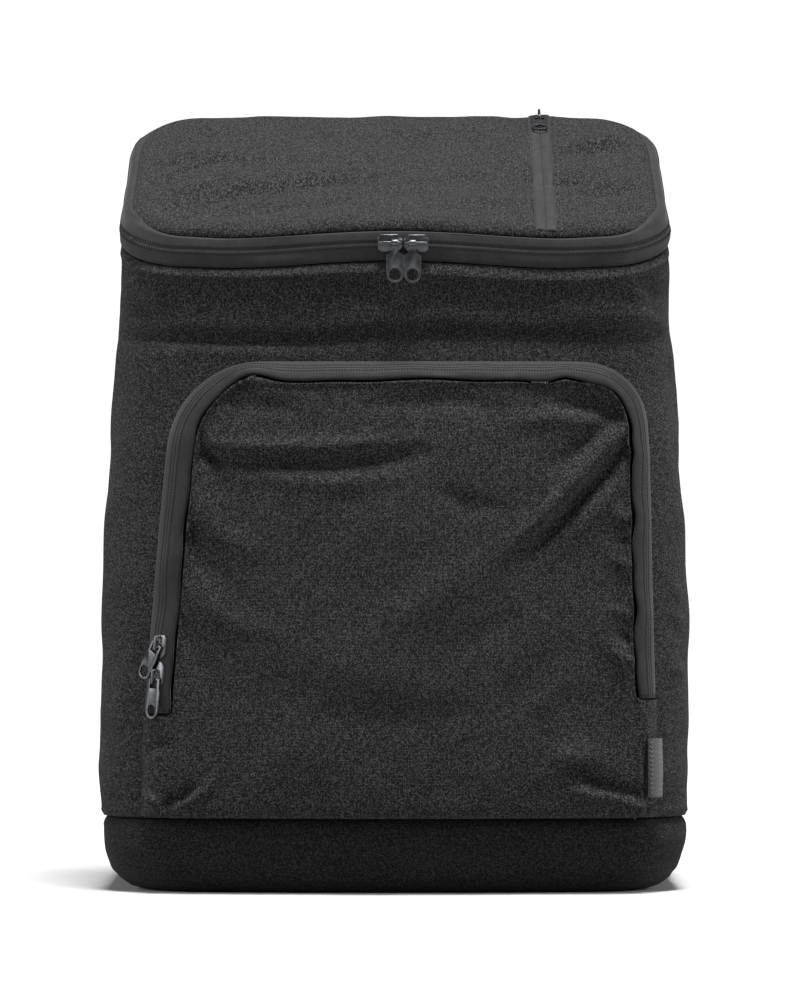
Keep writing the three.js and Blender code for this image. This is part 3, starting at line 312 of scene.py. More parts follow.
def heather_weave(name, dark, middle, light):
    """Plain-weave polyester from two-tone yarn: matt and grainy, with short pale slubs along both threads.
    The real threads are 0.5 mm apart and drawn 0.78 mm apart, because finer ones don't show."""
    material, tree, shader = new_material(name)
    own = node(tree, "ShaderNodeUVMap", uv_map="cloth")
    pitch, slub = 0.00078, 0.0026
    cells = {"warp": (pitch, slub), "weft": (slub, pitch), "thread": (pitch, pitch), "crossing": (0.0005, 0.0006)}
    places = {
        key: node(tree, "ShaderNodeMapping", {"Vector": own, "Scale": (1 / wide, 1 / high, 1)})
        for key, (wide, high) in cells.items()
    }
    warp, weft = (
        node(tree, "ShaderNodeTexNoise", {"Vector": places[key], "Scale": 1.0, "Detail": 1.0})
        for key in ("warp", "weft")
    )
    split = node(tree, "ShaderNodeSeparateXYZ", {"Vector": places["thread"]})
    turns = [
        node(tree, "ShaderNodeMath", {0: split.outputs[axis], 1: math.pi}, operation="MULTIPLY") for axis in "XY"
    ]
    sines = [node(tree, "ShaderNodeMath", {0: turn}, operation="SINE") for turn in turns]
    over_under = node(tree, "ShaderNodeMath", {0: sines[0], 1: sines[1]}, operation="MULTIPLY")
    on_top = node(tree, "ShaderNodeMapRange", {"Value": over_under, "From Min": -0.6, "From Max": 0.6})
    yarn = node(tree, "ShaderNodeMix", {0: on_top, 2: warp, 3: weft}, data_type="FLOAT")
    even_yarn = node(tree, "ShaderNodeMapRange", {"Value": yarn, "To Min": 0.22, "To Max": 0.78})
    crossing = node(tree, "ShaderNodeVectorMath", {0: places["crossing"]}, operation="FLOOR")
    chance = node(tree, "ShaderNodeTexWhiteNoise", {"Vector": crossing}, noise_dimensions="2D")
    speckle = node(
        tree, "ShaderNodeMapRange", {"Value": chance.outputs["Value"], "To Min": -0.2, "To Max": 0.2}
    )
    ridge = node(tree, "ShaderNodeMath", {0: over_under}, operation="ABSOLUTE")
    # Painted shade: the seams between the threads are darkened.
    thread_gap_shade = node(tree, "ShaderNodeMapRange", {"Value": ridge, "From Max": 0.5, "To Min": -0.09, "To Max": 0.03})
    cloud = node(tree, "ShaderNodeTexNoise", {"Vector": own, "Scale": 60.0, "Detail": 3.0})
    uneven = node(
        tree, "ShaderNodeMapRange",
        {"Value": cloud, "From Min": 0.3, "From Max": 0.7, "To Min": -0.008, "To Max": 0.008},
    )
    tone = even_yarn
    for part in (speckle, thread_gap_shade, uneven):
        tone = node(tree, "ShaderNodeMath", {0: tone, 1: part}, operation="ADD")
    thickness = node(tree, "ShaderNodeMath", {0: ridge, 1: yarn}, operation="ADD")
    bump = node(tree, "ShaderNodeBump", {"Height": thickness, "Strength": 0.55, "Distance": 0.00035})
    coloured(tree, shader, tone, [(0.32, dark), (0.5, middle), (0.72, light)], bump)
    shader.inputs["Roughness"].default_value = 0.92
    shader.inputs["Specular IOR Level"].default_value = 0.1
    shader.inputs["Sheen Weight"].default_value = 0.02
    shader.inputs["Sheen Roughness"].default_value = 0.45
    return material


heather_cloth = heather_weave("heathered_polyester_plain_weave", "#060607", "#181819", "#39393a")

# the points of each line as its run from the front's middle and its height, then its width and its depth
WALL_FOLD_DEPTH = 1.6
WALL_FOLDS = [
    ([(-120, 331), (-130, 320), (-138, 312)], 3.0, 1.1),
    ([(-128, 334), (-140, 326), (-154, 322)], 3.0, 1.3),
    ([(-142, 318), (-134, 308), (-124, 303)], 3.5, -1.0), ([(118, 326), (130, 318), (142, 312)], 4.0, 1.1),
    ([(132, 324), (144, 320), (158, 319)], 3.5, -1.0), ([(122, 313), (138, 305), (152, 301)], 4.0, 1.0),
    ([(-156, 300), (-168, 276), (-176, 246)], 8.0, 1.3), ([(156, 302), (170, 276), (180, 240)], 8.0, 1.5),
    ([(-150, 234), (-162, 190), (-172, 120)], 11.0, 0.9), ([(154, 222), (168, 170), (176, 110)], 11.0, 1.0),
    ([(-210, 334), (-196, 280), (-182, 212)], 14.0, 1.4), ([(214, 334), (198, 280), (186, 220)], 14.0, 1.3),
    ([(-250, 214), (-226, 150), (-190, 90)], 16.0, 1.2), ([(250, 204), (226, 150), (196, 90)], 16.0, 1.2),
    ([(-136, 128), (-144, 96), (-140, 60)], 7.0, 0.9),
    ([(-120, 313), (-60, 309), (0, 311), (50, 309)], 5.0, 0.9),
    ([(60, 313), (104, 311), (144, 306)], 5.0, 0.9), ([(-146, 285), (-100, 288), (-50, 286)], 4.0, 0.8),
    ([(146, 166), (156, 156)], 3.0, 0.9), ([(146, 150), (158, 141)], 3.0, 0.8),
    ([(145, 120), (157, 116)], 3.0, 0.9),
]

share = np.linspace(-1, 1, 221)[None, :]
up = np.concatenate([np.linspace(0, 0.8, 95)[:-1], np.linspace(0.8, 0.94, 46)[:-1], np.linspace(0.94, 1, 32)])
up = up[:, None]
bottom = BASE_HEIGHT + 0.15
rim = rim_point(share)
walls_z = bottom + (rim[..., 2] - bottom) * up
walls_grid = wall_point(share + 0 * up, walls_z)
run = share * 300
from_rim = rim[..., 2] - walls_z
CREASE_HEIGHT, CREASE_DEPTH = 296.0, 2.4
crease_z = CREASE_HEIGHT + 1.8 * np.sin(run / 60) + 1.2 * np.sin(run / 23 + 1)
on_front = np.exp(-((run / 142) ** 8))
above_crease = walls_z - crease_z
crease = CREASE_DEPTH * (np.exp(-(((above_crease - 7) / 6) ** 2)) - np.exp(-((above_crease / 3.0) ** 2)))
walls_height = WALL_FOLD_DEPTH * folds(run + 0 * up, walls_z, WALL_FOLDS) + crease * on_front
walls_height += sway(run + 0 * up, walls_z, 5, 70, 0.55) + sway(run + 0 * up, walls_z, 6, 24, 0.16)
walls_height *= np.clip(from_rim / 12, 0, 1) * np.clip((walls_z - bottom) / 14, 0, 1)
hem = 6.2 + 1.2 * np.sin(run / 47 + 0.6)
hem_rise = np.interp(from_rim / hem, [0, 0.12, 0.8, 0.95, 1.15, 1.6], [-1.6, 0.2, 2.7, 2.8, 0.9, 0])
walls_height += hem_rise * np.clip(1.9 - np.abs(run) / 100, 0.25, 1)
above_seam = walls_z - bottom
walls_height += 0.5 * np.exp(-(((above_seam - 2.6) / 1.8) ** 2)) - 0.9 * np.exp(-((above_seam / 1.2) ** 2))
walls = cloth("walls", pushed(walls_grid, walls_height), heather_cloth)
apply_modifier(walls, "SOLIDIFY", thickness=WALL_THICK * MM, offset=-1, use_rim=True)
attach(walls, "bag")
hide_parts("body_shell")


# Base band
# The tub under the walls, of the same cloth over a stiff foam floor, coloured darker as painted shade for its
# low, down-turned faces. Its corners are rounded, its edge rolls under, and the seam with the walls is turned in.
def quarter(radius, points):
    """The points of a quarter turn but its last, as steps from its centre."""
    return [(radius * math.sin(t), radius * math.cos(t)) for t in np.linspace(0, math.pi / 2, points)[:-1]]


def closed_line(run, half, front, back, corner, rear, bow=BOW):
    """Points round a closed plan, run going from 0 to 1 round it from the middle of the back."""
    straight, rear_side, side = half - corner, back - rear, front + bow + corner
    line = [(x, back) for x in np.linspace(0, half - rear, 40)[:-1]]
    line += [(half - rear + x, rear_side + y) for x, y in quarter(rear, 14)]
    line += [(half, y) for y in np.linspace(rear_side, side, 40)[:-1]]
    line += [(straight + y, side - x) for x, y in quarter(corner, 24)]
    line += [(x, front + bow * (x / straight) ** 2) for x in np.linspace(straight, 0, 50)]
    line = np.array(line + [(-x, y) for x, y in line[-2::-1]])
    length = np.append(0, np.cumsum(np.linalg.norm(np.diff(line, axis=0), axis=1)))
    at = run * length[-1]
    return np.stack([np.interp(at, length, line[:, 0]), np.interp(at, length, line[:, 1])], -1)


# height, inset at the sides, inset at front and back
BASE_LINE = np.array([
    (0, 62, 62), (0, 40, 34), (0, 24, 14.4), (0.8, 20, 11.5), (2.4, 15.2, 8), (4.8, 11.6, 6), (6.8, 8.4, 4.8),
    (11.2, 5.0, 3.2), (16.8, 3.0, 2.0), (22, 1.6, 1.4), (26, 0.8, 0.8), (31, 0.3, 0.3), (35.5, 0.2, 0.2),
    (37.6, 0.9, 0.9), (39.0, 1.9, 1.9), (39.8, 3.2, 3.2),
])
BASE_FOLDS = [
    ([(40, 8), (120, 12), (190, 11)], 3.0, -0.9), ([(215, 10), (330, 8)], 3.0, -0.9),
    ([(120, 22), (180, 27)], 4.0, 0.5), ([(150, 30), (172, 14)], 4.0, 0.7),
    ([(560, 10), (640, 7), (700, 9)], 3.0, -1.0), ([(600, 25), (660, 20)], 4.0, 0.6),
    ([(760, 9), (860, 12)], 3.0, -0.8), ([(300, 26), (420, 20), (520, 24)], 5.0, 0.6),
    ([(320, 33), (350, 14)], 5.0, 0.8), ([(616, 33), (600, 16)], 5.0, 0.8),
]
# The base's copy of the heathered cloth is darker, as painted shade.
base_shaded_cloth = heather_weave("heathered_polyester_painted_shade", "#060607", "#131314", "#2a2a2b")
BASE_HALF, BASE_FRONT, REAR_CORNER = 156.7, -93.6, 16
BASE_ROUND = 950
around = np.linspace(0, 1, 361)[:-1]
base_rows = []
steps = np.linspace(0, len(BASE_LINE) - 1, 51)
levels, side_insets, end_insets = (np.interp(steps, range(len(BASE_LINE)), BASE_LINE[:, k]) for k in range(3))
for z, sides, ends in zip(levels, side_insets, end_insets):
    plan = closed_line(
        around, BASE_HALF - sides, BASE_FRONT + ends, BACK - ends,
        max(4, CORNER - 0.1 * sides), max(3, REAR_CORNER - sides / 4),
    )
    base_rows.append(np.column_stack([plan, np.full(len(plan), z)]))
base_grid = np.array(base_rows)
base_run = around[None, :] * BASE_ROUND + 0 * levels[:, None]
base_z = levels[:, None] + 0 * base_run
base_height = folds(base_run, base_z, BASE_FOLDS) + sway(base_run, base_z * 2, 8, 55, 0.4)
base_height *= np.clip(levels / 8, 0, 1)[:, None] * np.clip((39 - levels) / 6, 0, 1)[:, None]
base_height = np.minimum(base_height, 1.0)
base = cloth("base_band", pushed(base_grid, base_height), base_shaded_cloth, closed=True)

# One face closes the ring of the innermost points as the tub's floor.
select_only(base)
bpy.ops.object.mode_set(mode="EDIT")
bpy.ops.mesh.select_mode(type="VERT")
bpy.ops.mesh.select_all(action="DESELECT")
bpy.ops.object.mode_set(mode="OBJECT")
for vertex in base.data.vertices[: len(around)]:
    vertex.select = True
bpy.ops.object.mode_set(mode="EDIT")
bpy.ops.mesh.edge_face_add()
bpy.ops.object.mode_set(mode="OBJECT")
apply_modifier(base, "SOLIDIFY", thickness=4.0 * MM, offset=-1, use_rim=True)
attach(base, "bag")
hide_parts("base_tub")


# Lid
# A padded panel of the heathered cloth that climbs to the back. Its edge rolls over to the zip's seam,
# and long soft folds run from its left edge. The middle is a little full.
LID_FOLD_DEPTH, LID_DEPTH = 2.4, 6.3
BAND_HEIGHT, SEAM = 15.5, 0.3
LID_FOLDS = [
    ([(-139, -78), (-125, -60), (-104, -48), (-82, -39), (-50, -31), (-18, -23), (0, -6)], 4.6, 2.6),
    ([(-134, -58), (-110, -36), (-70, -24), (-28, -14)], 6.5, -2.4),
    ([(-120, -78), (-80, -66), (-30, -62)], 6.5, -1.2),
    ([(-132, -20), (-123, -8), (-112, 2), (-100, 11), (-66, 15)], 4.0, 2.0),
    ([(-130, 2), (-112, 18), (-92, 26)], 5.5, -1.8), ([(-134, 40), (-118, 50), (-96, 54)], 5.0, 1.2),
    ([(10, -22), (40, -14), (66, -12)], 7.0, 1.0), ([(66, -12), (84, -18), (112, -16)], 6.5, -2.6),
    ([(88, 26), (104, 40), (122, 50), (137, 54)], 5.5, 2.2), ([(96, 22), (116, 34), (134, 38)], 5.5, -2.2),
    ([(98, -36), (116, -26), (134, -10)], 5.5, 2.2), ([(110, -44), (124, -36), (136, -24)], 5.0, -1.8),
    ([(-40, 60), (60, 70)], 12.0, 0.8), ([(-122, 72), (-104, 56), (-90, 40)], 7.0, -1.3),
    ([(20, -62), (70, -52)], 7.0, 1.0), ([(112, -66), (132, -52)], 5.0, 1.6),
]


def lid_top(x, y):
    crown = 3.0 * np.maximum(0, 1 - (x / HALF) ** 2) * np.maximum(0, 1 - (y / BACK) ** 2)
    inside = np.maximum(0, 1 - (x / (0.93 * HALF)) ** 4)
    soft = LID_FOLD_DEPTH * folds(x, y, LID_FOLDS) + sway(x, y, 12, 46, 0.5) + sway(x, y, 13, 17, 0.12)
    soft = soft * inside
    droop = 9.0 * (x / HALF) ** 6 * np.maximum(0, y / BACK) ** 3
    return rim_height(x, y) + BAND_HEIGHT + LID_DEPTH + crown + soft - droop


def rolled_edge(x, y):
    """How far the tape rolls over the lid's edge: not at the front's middle, fully at the sides."""
    aside = np.clip((y + 90) / 24, 0, 1) * (np.abs(x) > 90)
    return aside * aside * (3 - 2 * aside) * np.clip((BACK - y) / 14, 0, 1)


# inset from the edge, share of the lid's depth
LID_LINE = [
    (62, 0), (30, 0), (8, 0), (2.0, 0), (0.8, 0.04), (0.3, 0.14), (0.1, 0.28), (0.15, 0.44), (0.5, 0.6),
    (1.2, 0.74), (2.4, 0.86), (4.2, 0.94), (6.5, 0.98), (9.5, 1), (13, 1),
]
LID_LINE += [(inset, 1) for inset in np.linspace(15.5, 82, 30)]
LID_FRONT, LID_DRAWN_IN = -93.1, 4.2
SLOPE_LENGTH = 1 / math.cos(math.atan(SLOPE))
lid_around = np.linspace(0, 1, 421)[:-1]
lid_half = float(wall_half(FRONT_HEIGHT + BAND_HEIGHT))
lid_rows, lid_uv_rows = [], []
for inset, level in LID_LINE:
    plan = closed_line(
        lid_around, lid_half - inset, LID_FRONT + inset, BACK - inset, max(3, CORNER - inset),
        max(3, REAR_CORNER - inset / 2), BOW * (1 - inset / HALF),
    )
    x, y = plan[:, 0], plan[:, 1]
    x = x * wall_half(rim_height(x, y) + BAND_HEIGHT) / lid_half
    along = np.roll(plan, -1, 0) - np.roll(plan, 1, 0)
    along /= np.linalg.norm(along, axis=1, keepdims=True)
    drawn_in = LID_DRAWN_IN * rolled_edge(x, y) * max(0, 1 - inset / 62)
    turn = np.sign(np.sum(along[:, 1] * x))
    out_x, out_y = along[:, 1] * turn, -along[:, 0] * turn
    x, y = x - out_x * drawn_in, y - out_y * drawn_in
    under = rim_height(x, y) + BAND_HEIGHT + SEAM
    depth = lid_top(x, y) - under
    lid_rows.append(np.column_stack([x, y, under + depth * level]))
    side_cloth = depth * (1 - level)
    lid_uv_rows.append(np.column_stack([x + out_x * side_cloth, y * SLOPE_LENGTH + out_y * side_cloth]))


def merge_points(piece, within):
    """Merges the points that lie within so many metres and turns all faces outwards."""
    select_only(piece)
    bpy.ops.object.mode_set(mode="EDIT")
    bpy.ops.mesh.select_all(action="SELECT")
    bpy.ops.mesh.remove_doubles(threshold=within)
    bpy.ops.mesh.normals_make_consistent(inside=False)
    bpy.ops.object.mode_set(mode="OBJECT")


lid_grid = np.array(lid_rows)
closing = np.repeat(lid_grid[-1:].mean(1, keepdims=True), len(lid_around), 1)
closing[..., 2] = lid_top(closing[..., 0], closing[..., 1])
under_middle = np.repeat(lid_grid[:1].mean(1, keepdims=True), len(lid_around), 1)
lid_grid = np.concatenate([under_middle, lid_grid, closing])
lid_uv_rows = [lid_uv_rows[0], *lid_uv_rows, closing[0, :, :2]]
lid_uv = np.concatenate([np.array(lid_uv_rows), np.array(lid_uv_rows)[:, :1]], 1)
lid = cloth("lid", lid_grid, heather_cloth, closed=True, uv=lid_uv, outward=(0, 0, 1))
merge_points(lid, 0.00002)
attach(lid, "bag")
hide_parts("lid_panel")


# Main zip
# A band of smooth coated tape round the front and sides, sewn to wall and lid. The coil lies behind
# the tape, and its sewing thread shows as two rows of ticks beside the line where the halves meet.
def coated_tape(name, dark, light, rough):
    """Polyurethane-coated polyester tape: smooth and dull, with a fine ribbed weave under the film."""
    material, tree, shader = new_material(name)
    own = node(tree, "ShaderNodeUVMap", uv_map="cloth")
    rib_place = node(tree, "ShaderNodeMapping", {"Vector": own, "Scale": (1 / 0.0009, 1 / 0.006, 1)})
    rib = node(tree, "ShaderNodeTexNoise", {"Vector": rib_place, "Scale": 1.0, "Detail": 2.0})
    cloud = node(tree, "ShaderNodeTexNoise", {"Vector": own, "Scale": 130.0, "Detail": 3.0})
    tone = node(tree, "ShaderNodeMath", {0: rib, 1: cloud}, operation="MULTIPLY")
    bump = node(tree, "ShaderNodeBump", {"Height": rib, "Strength": 0.12, "Distance": 0.0002})
    coloured(tree, shader, tone, [(0.12, dark), (0.4, light)], bump)
    shader.inputs["Roughness"].default_value = rough
    shader.inputs["Specular IOR Level"].default_value = 0.12
    shader.inputs["Sheen Weight"].default_value = 0.05
    return material


def repeated(name, pattern, places, material):
    """One mesh with a copy of the pattern's mesh at each place, a place being a 4 x 4 matrix in metres."""
    points = np.array([v.co[:] for v in pattern.data.vertices])
    faces = [list(p.vertices) for p in pattern.data.polygons]
    count = len(points)
    verts = np.concatenate([points @ m[:3, :3].T + m[:3, 3] for m in places])
    mesh = bpy.data.meshes.new(name)
    faces = [[i + k * count for i in face] for k in range(len(places)) for face in faces]
    mesh.from_pydata(verts.tolist(), [], faces)
    mesh.materials.append(material)
    mesh.shade_smooth()
    bpy.data.objects.remove(pattern)
    piece = bpy.data.objects.new(name, mesh)
    bpy.context.scene.collection.objects.link(piece)
    return piece


def rib_pattern(length, width, height):
    """A small rounded rib, made from a box with its upper edges rounded: x along the zip, y across it."""
    bpy.ops.object.select_all(action="DESELECT")
    bpy.ops.mesh.primitive_cube_add(size=1)
    made = bpy.context.object
    made.scale = (length * MM, width * MM, height * MM)
    bpy.ops.object.transform_apply(location=False, rotation=False, scale=True)
    bpy.ops.object.mode_set(mode="EDIT")
    bpy.ops.mesh.select_all(action="SELECT")
    bpy.ops.mesh.bevel(offset=0.28 * length * MM, segments=1, affect="EDGES")
    bpy.ops.object.mode_set(mode="OBJECT")
    return made


def along_line(line, normals, spacing, lift=0.0, start=0.0):
    """Matrices every spacing millimetres on a line: x along it, y across it, z along the normal."""
    length = np.append(0, np.cumsum(np.linalg.norm(np.diff(line, axis=0), axis=1)))
    stops = np.arange(start, length[-1], spacing)

    def at(places, values):
        return np.stack([np.interp(places, length, values[:, k]) for k in range(3)], -1)

    matrices = []
    ways = at(stops + 0.5, line) - at(stops - 0.5, line)
    for place, normal, way in zip(at(stops, line), at(stops, normals), ways):
        way = way / max(np.linalg.norm(way), 1e-9)
        normal = normal - way * np.dot(normal, way)
        normal = normal / np.linalg.norm(normal)
        matrix = np.eye(4)
        matrix[:3, 0], matrix[:3, 1], matrix[:3, 2] = way, np.cross(normal, way), normal
        matrix[:3, 3] = (place + normal * lift) * MM
        matrices.append(matrix)
    return matrices


zip_tape = coated_tape("coated_zip_tape", "#161617", "#202021", 0.66)
BAND_SWELL, BAND_OUT, COIL_DROP = 1.0, 0.6, 5.6
ROLL_IN, ROLL_UP = 4.4, 4.8
band_v = np.concatenate([np.linspace(0, 0.6, 17)[:-1], np.linspace(0.6, 0.68, 9), np.linspace(0.68, 1, 10)[1:]])
band_share = np.linspace(-1, 1, 301)
coil_v = 1 - COIL_DROP / BAND_HEIGHT


band_rows = []
for v in band_v:
    swell = BAND_SWELL * math.sin(math.pi * min(1, v * 1.02)) ** 0.7 if 0 < v < 0.98 else 0
    groove = 0.35 * math.exp(-(((v - coil_v) / 0.03) ** 2))
    tucked = 1.0 * math.exp(-((v / 0.05) ** 2))
    band_rows.append(rim_point(band_share, groove + tucked - BAND_OUT - swell, SEAM + (BAND_HEIGHT - SEAM) * v))
rolled = rolled_edge(band_rows[-1][:, 0], band_rows[-1][:, 1])
for turn in np.linspace(0, math.pi / 2, 9)[1:]:
    inward = (0.8 + ROLL_IN * rolled) * (1 - math.cos(turn)) - BAND_OUT
    band_rows.append(rim_point(band_share, inward, BAND_HEIGHT + (SEAM + ROLL_UP * rolled) * math.sin(turn)))
band_grid = np.array(band_rows)
band_up = np.append(band_v, np.linspace(1, 1.5, 9)[1:])[:, None]
band_run = band_share[None, :] * 300 + 0 * band_up
band_soft = sway(band_run, band_up * 16, 21, 40, 0.28) * np.sin(np.pi * np.clip(band_up, 0, 1.5) / 1.5)
BAND_FOLDS = [
    ([(-168, 15), (-150, 20), (-136, 22)], 2.0, -0.9), ([(-150, 5), (-128, 9)], 3.0, 0.8),
    ([(132, 18), (150, 16)], 2.2, -0.9), ([(150, 4), (168, 8)], 3.0, 0.7), ([(-40, 3), (-80, 4)], 3.0, 0.5),
    ([(60, 4), (100, 3)], 3.0, 0.5),
]
band_grid = pushed(band_grid, band_soft + folds(band_run, band_up * 16, BAND_FOLDS))
main_tape = cloth("main_zip_band", band_grid, zip_tape)
apply_modifier(main_tape, "SOLIDIFY", thickness=1.2 * MM, offset=-1, use_rim=True)
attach(main_tape, "bag")
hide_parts("main_zip_tape")

# Spun polyester thread, coloured darker than the tape as painted shade for the shadowed gaps between the coil's
# ribs. The real ticks are finer, and these are as coarse as they need to be to show.
TICK = {"pitch": 1.5, "width": 0.75, "reach": 1.6, "height": 0.8, "apart": 1.6}
tick_painted_shade = coated_tape("coil_ticks_painted_shade", "#060607", "#101011", 0.6)
for side in (-1, 1):
    row = int(np.argmin(np.abs(band_v - coil_v - side * TICK["apart"] / BAND_HEIGHT)))
    ticks = repeated(
        "main_zip_ticks_" + ("upper" if side > 0 else "lower"),
        rib_pattern(TICK["width"], TICK["reach"], TICK["height"]),
        along_line(band_grid[row], grid_normals(band_grid, (0, -1, 0))[row], TICK["pitch"], start=0.6),
        tick_painted_shade,
    )
    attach(ticks, "bag")


# Sliders and pulls
# Die-cast zinc, tumbled smooth and plated in black nickel, so dark with a dulled shine. Each slider is
# waisted with a bridge over its plate, and each pull is a flat tag with a round grip hole.
black_nickel, tree, shader = new_material("black_nickel_on_zinc")
place = node(tree, "ShaderNodeTexCoord")
grain = node(tree, "ShaderNodeTexNoise", {"Vector": place.outputs["Object"], "Scale": 2600.0, "Detail": 3.0})
rubbed = node(tree, "ShaderNodeTexNoise", {"Vector": place.outputs["Object"], "Scale": 320.0, "Detail": 2.0})
metal_rough = node(tree, "ShaderNodeMapRange", {"Value": rubbed, "To Min": 0.3, "To Max": 0.38})
bump = node(tree, "ShaderNodeBump", {"Height": grain, "Strength": 0.03, "Distance": 0.0001})
coloured(tree, shader, rubbed, [(0.35, "#434446"), (0.65, "#505154")], bump)
tree.links.new(metal_rough.outputs["Result"], shader.inputs["Roughness"])
shader.inputs["Metallic"].default_value = 1.0


def softened_copy(node_name, name, material, edge, segments=2):
    """A copy of a rigid solid with its flat faces made whole and its edges rounded by edge millimetres."""
    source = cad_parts[node_name]
    mesh = source.data.copy()
    piece = bpy.data.objects.new(name, mesh)
    bpy.context.scene.collection.objects.link(piece)
    mesh.materials.clear()
    mesh.materials.append(material)
    select_only(piece)
    bpy.ops.object.mode_set(mode="EDIT")
    bpy.ops.mesh.select_all(action="SELECT")
    bpy.ops.mesh.remove_doubles(threshold=0.00001)
    bpy.ops.mesh.dissolve_limited(angle_limit=math.radians(1.5))
    bpy.ops.object.mode_set(mode="OBJECT")
    apply_modifier(
        piece, "BEVEL", width=edge * MM, segments=segments, limit_method="ANGLE",
        angle_limit=math.radians(32), use_clamp_overlap=True,
    )
    mesh.shade_smooth()
    select_only(piece)
    bpy.ops.object.shade_smooth_by_angle(angle=math.radians(40))
    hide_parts(node_name)
    return piece


ZIPS = ("main_zip_{}_left", "main_zip_{}_right", "lid_zip_{}", "pocket_zip_{}_upper", "pocket_zip_{}_lower")
for zip_name in ZIPS:
    slider_node, pull_node = zip_name.format("slider"), zip_name.format("pull")
    slider = softened_copy(slider_node, slider_node + "_cast", black_nickel, 0.32)
    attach(slider, "bag")
    pull = softened_copy(pull_node, pull_node + "_cast", black_nickel, 0.26)
    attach(pull, pull_node)


# Lid zip
# A short zip from the lid's front to its back, on the right: a straight strip of the same tape, sewn
# into the lid between two rows of stitches.
LID_ZIP_X, LID_ZIP_HALF = 80.5, 5.9
LID_ZIP_END = LID_FRONT + BOW * (LID_ZIP_X / (lid_half - CORNER)) ** 2
lid_v = LID_ZIP_END + np.array([0.4, 0.7, 1.1, 1.7, 2.4, 3.3, 4.2, 5.4])
lid_v = np.concatenate([lid_v, np.linspace(LID_ZIP_END + 6.8, BACK - 4, 88)])


def lid_skin(x, y):
    """The lid's surface along the zip, down over its rounded front edge."""
    under = rim_height(x, y) + BAND_HEIGHT + SEAM
    insets, levels = np.array(LID_LINE[6:]).T
    return under + (lid_top(x, y) - under) * np.interp(y - LID_ZIP_END, insets, levels)


lid_u = np.concatenate([
    np.linspace(-LID_ZIP_HALF, -0.8, 8), np.linspace(-0.5, 0.5, 5), np.linspace(0.8, LID_ZIP_HALF, 8)
])
strip_x = LID_ZIP_X + lid_u[None, :] + 0 * lid_v[:, None]
strip_y = lid_v[:, None] + 0 * lid_u[None, :]
strip_z = lid_skin(strip_x, strip_y) + 0.35 - 0.35 * np.exp(-((lid_u / 0.3) ** 2))[None, :]
strip_z += 0.35 * np.sin(np.pi * np.clip((np.abs(lid_u) - 0.8) / 5, 0, 1))[None, :]
strip_z -= 0.35 * (np.abs(lid_u) > 5.8)[None, :]
strip_grid = np.stack([strip_x, strip_y, strip_z], -1)
lid_tape = cloth("lid_zip_strip", strip_grid, zip_tape, outward=(0, 0, 1))
apply_modifier(lid_tape, "SOLIDIFY", thickness=0.9 * MM, offset=-1, use_rim=True)
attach(lid_tape, "bag")
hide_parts("lid_zip_tape")

# Bonded nylon sewing thread: dark and a little waxy, with its twist just showing.
bonded_thread, tree, shader = new_material("bonded_nylon_thread")
place = node(tree, "ShaderNodeTexCoord")
twist = node(tree, "ShaderNodeTexWave", {"Vector": place.outputs["Object"], "Scale": 900.0, "Distortion": 1.0})
coloured(tree, shader, twist.outputs["Fac"], [(0.2, "#101011"), (0.8, "#1e1e1f")])
shader.inputs["Roughness"].default_value = 0.6
STITCH = {"pitch": 3.1, "long": 2.3, "wide": 0.55, "high": 0.45}


def stitch_pattern():
    bpy.ops.object.select_all(action="DESELECT")
    upright = (0, math.radians(90), 0)
    bpy.ops.mesh.primitive_uv_sphere_add(segments=8, ring_count=5, radius=0.5, rotation=upright)
    made = bpy.context.object
    bpy.ops.object.transform_apply(location=False, rotation=True, scale=False)
    made.scale = (STITCH["long"] * MM, STITCH["wide"] * MM, STITCH["high"] * MM)
    bpy.ops.object.transform_apply(location=False, rotation=False, scale=True)
    return made


for side, name in ((-1, "left"), (1, "right")):
    x = LID_ZIP_X + side * (LID_ZIP_HALF + 2.4) + 0 * lid_v
    line = np.stack([x, lid_v, lid_skin(x, lid_v)], -1)
    normals = np.tile([0, -math.sin(math.atan(SLOPE)), math.cos(math.atan(SLOPE))], (len(lid_v), 1))
    seam = along_line(line[3:-3], normals[3:-3], STITCH["pitch"], lift=0.05)
    piece = repeated("lid_zip_stitches_" + name, stitch_pattern(), seam, bonded_thread)
    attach(piece, "bag")


# Front pocket
# A shallow bellows pocket: an inverted U of the smooth zip tape stands up from the wall as its sides
# and top, short cloth sides go on below it, and a slack panel of the heathered cloth closes it.
POCKET_TOP, POCKET_BAND, POCKET_BAND_TOP = 283.0, 15.0, 11.0
POCKET_BULGE, POCKET_FILL = 9.0, 8.0
POCKET_CORNER = {"left": 42.0, "right": 32.0}
ZIP_END = {"left": 96.0, "right": 104.0}
POCKET_EDGE = np.array([
    (41.0, 134.8, 139.5), (99.1, 133.2, 139.5), (141.5, 129.9, 138.3), (184.0, 126.4, 137.3),
    (232.1, 122.0, 136.4), (283.0, 115.2, 133.2),
])


def front_face(x, z):
    half, front = wall_half(z), wall_front(z)
    straight = half - CORNER
    beyond = np.abs(x) - straight
    on_corner = front + BOW + CORNER - np.sqrt(np.maximum(0, CORNER**2 - np.maximum(0, beyond) ** 2))
    return np.where(beyond <= 0, front + BOW * (x / straight) ** 2, on_corner)


def pocket_station(side, z, inset=0.0):
    sign = -1 if side == "left" else 1
    band = (POCKET_BAND if side == "left" else 0.75 * POCKET_BAND) + inset
    outer = sign * np.interp(z, POCKET_EDGE[:, 0], POCKET_EDGE[:, 1 if side == "left" else 2])
    return np.array([outer, z, outer - sign * band, z])


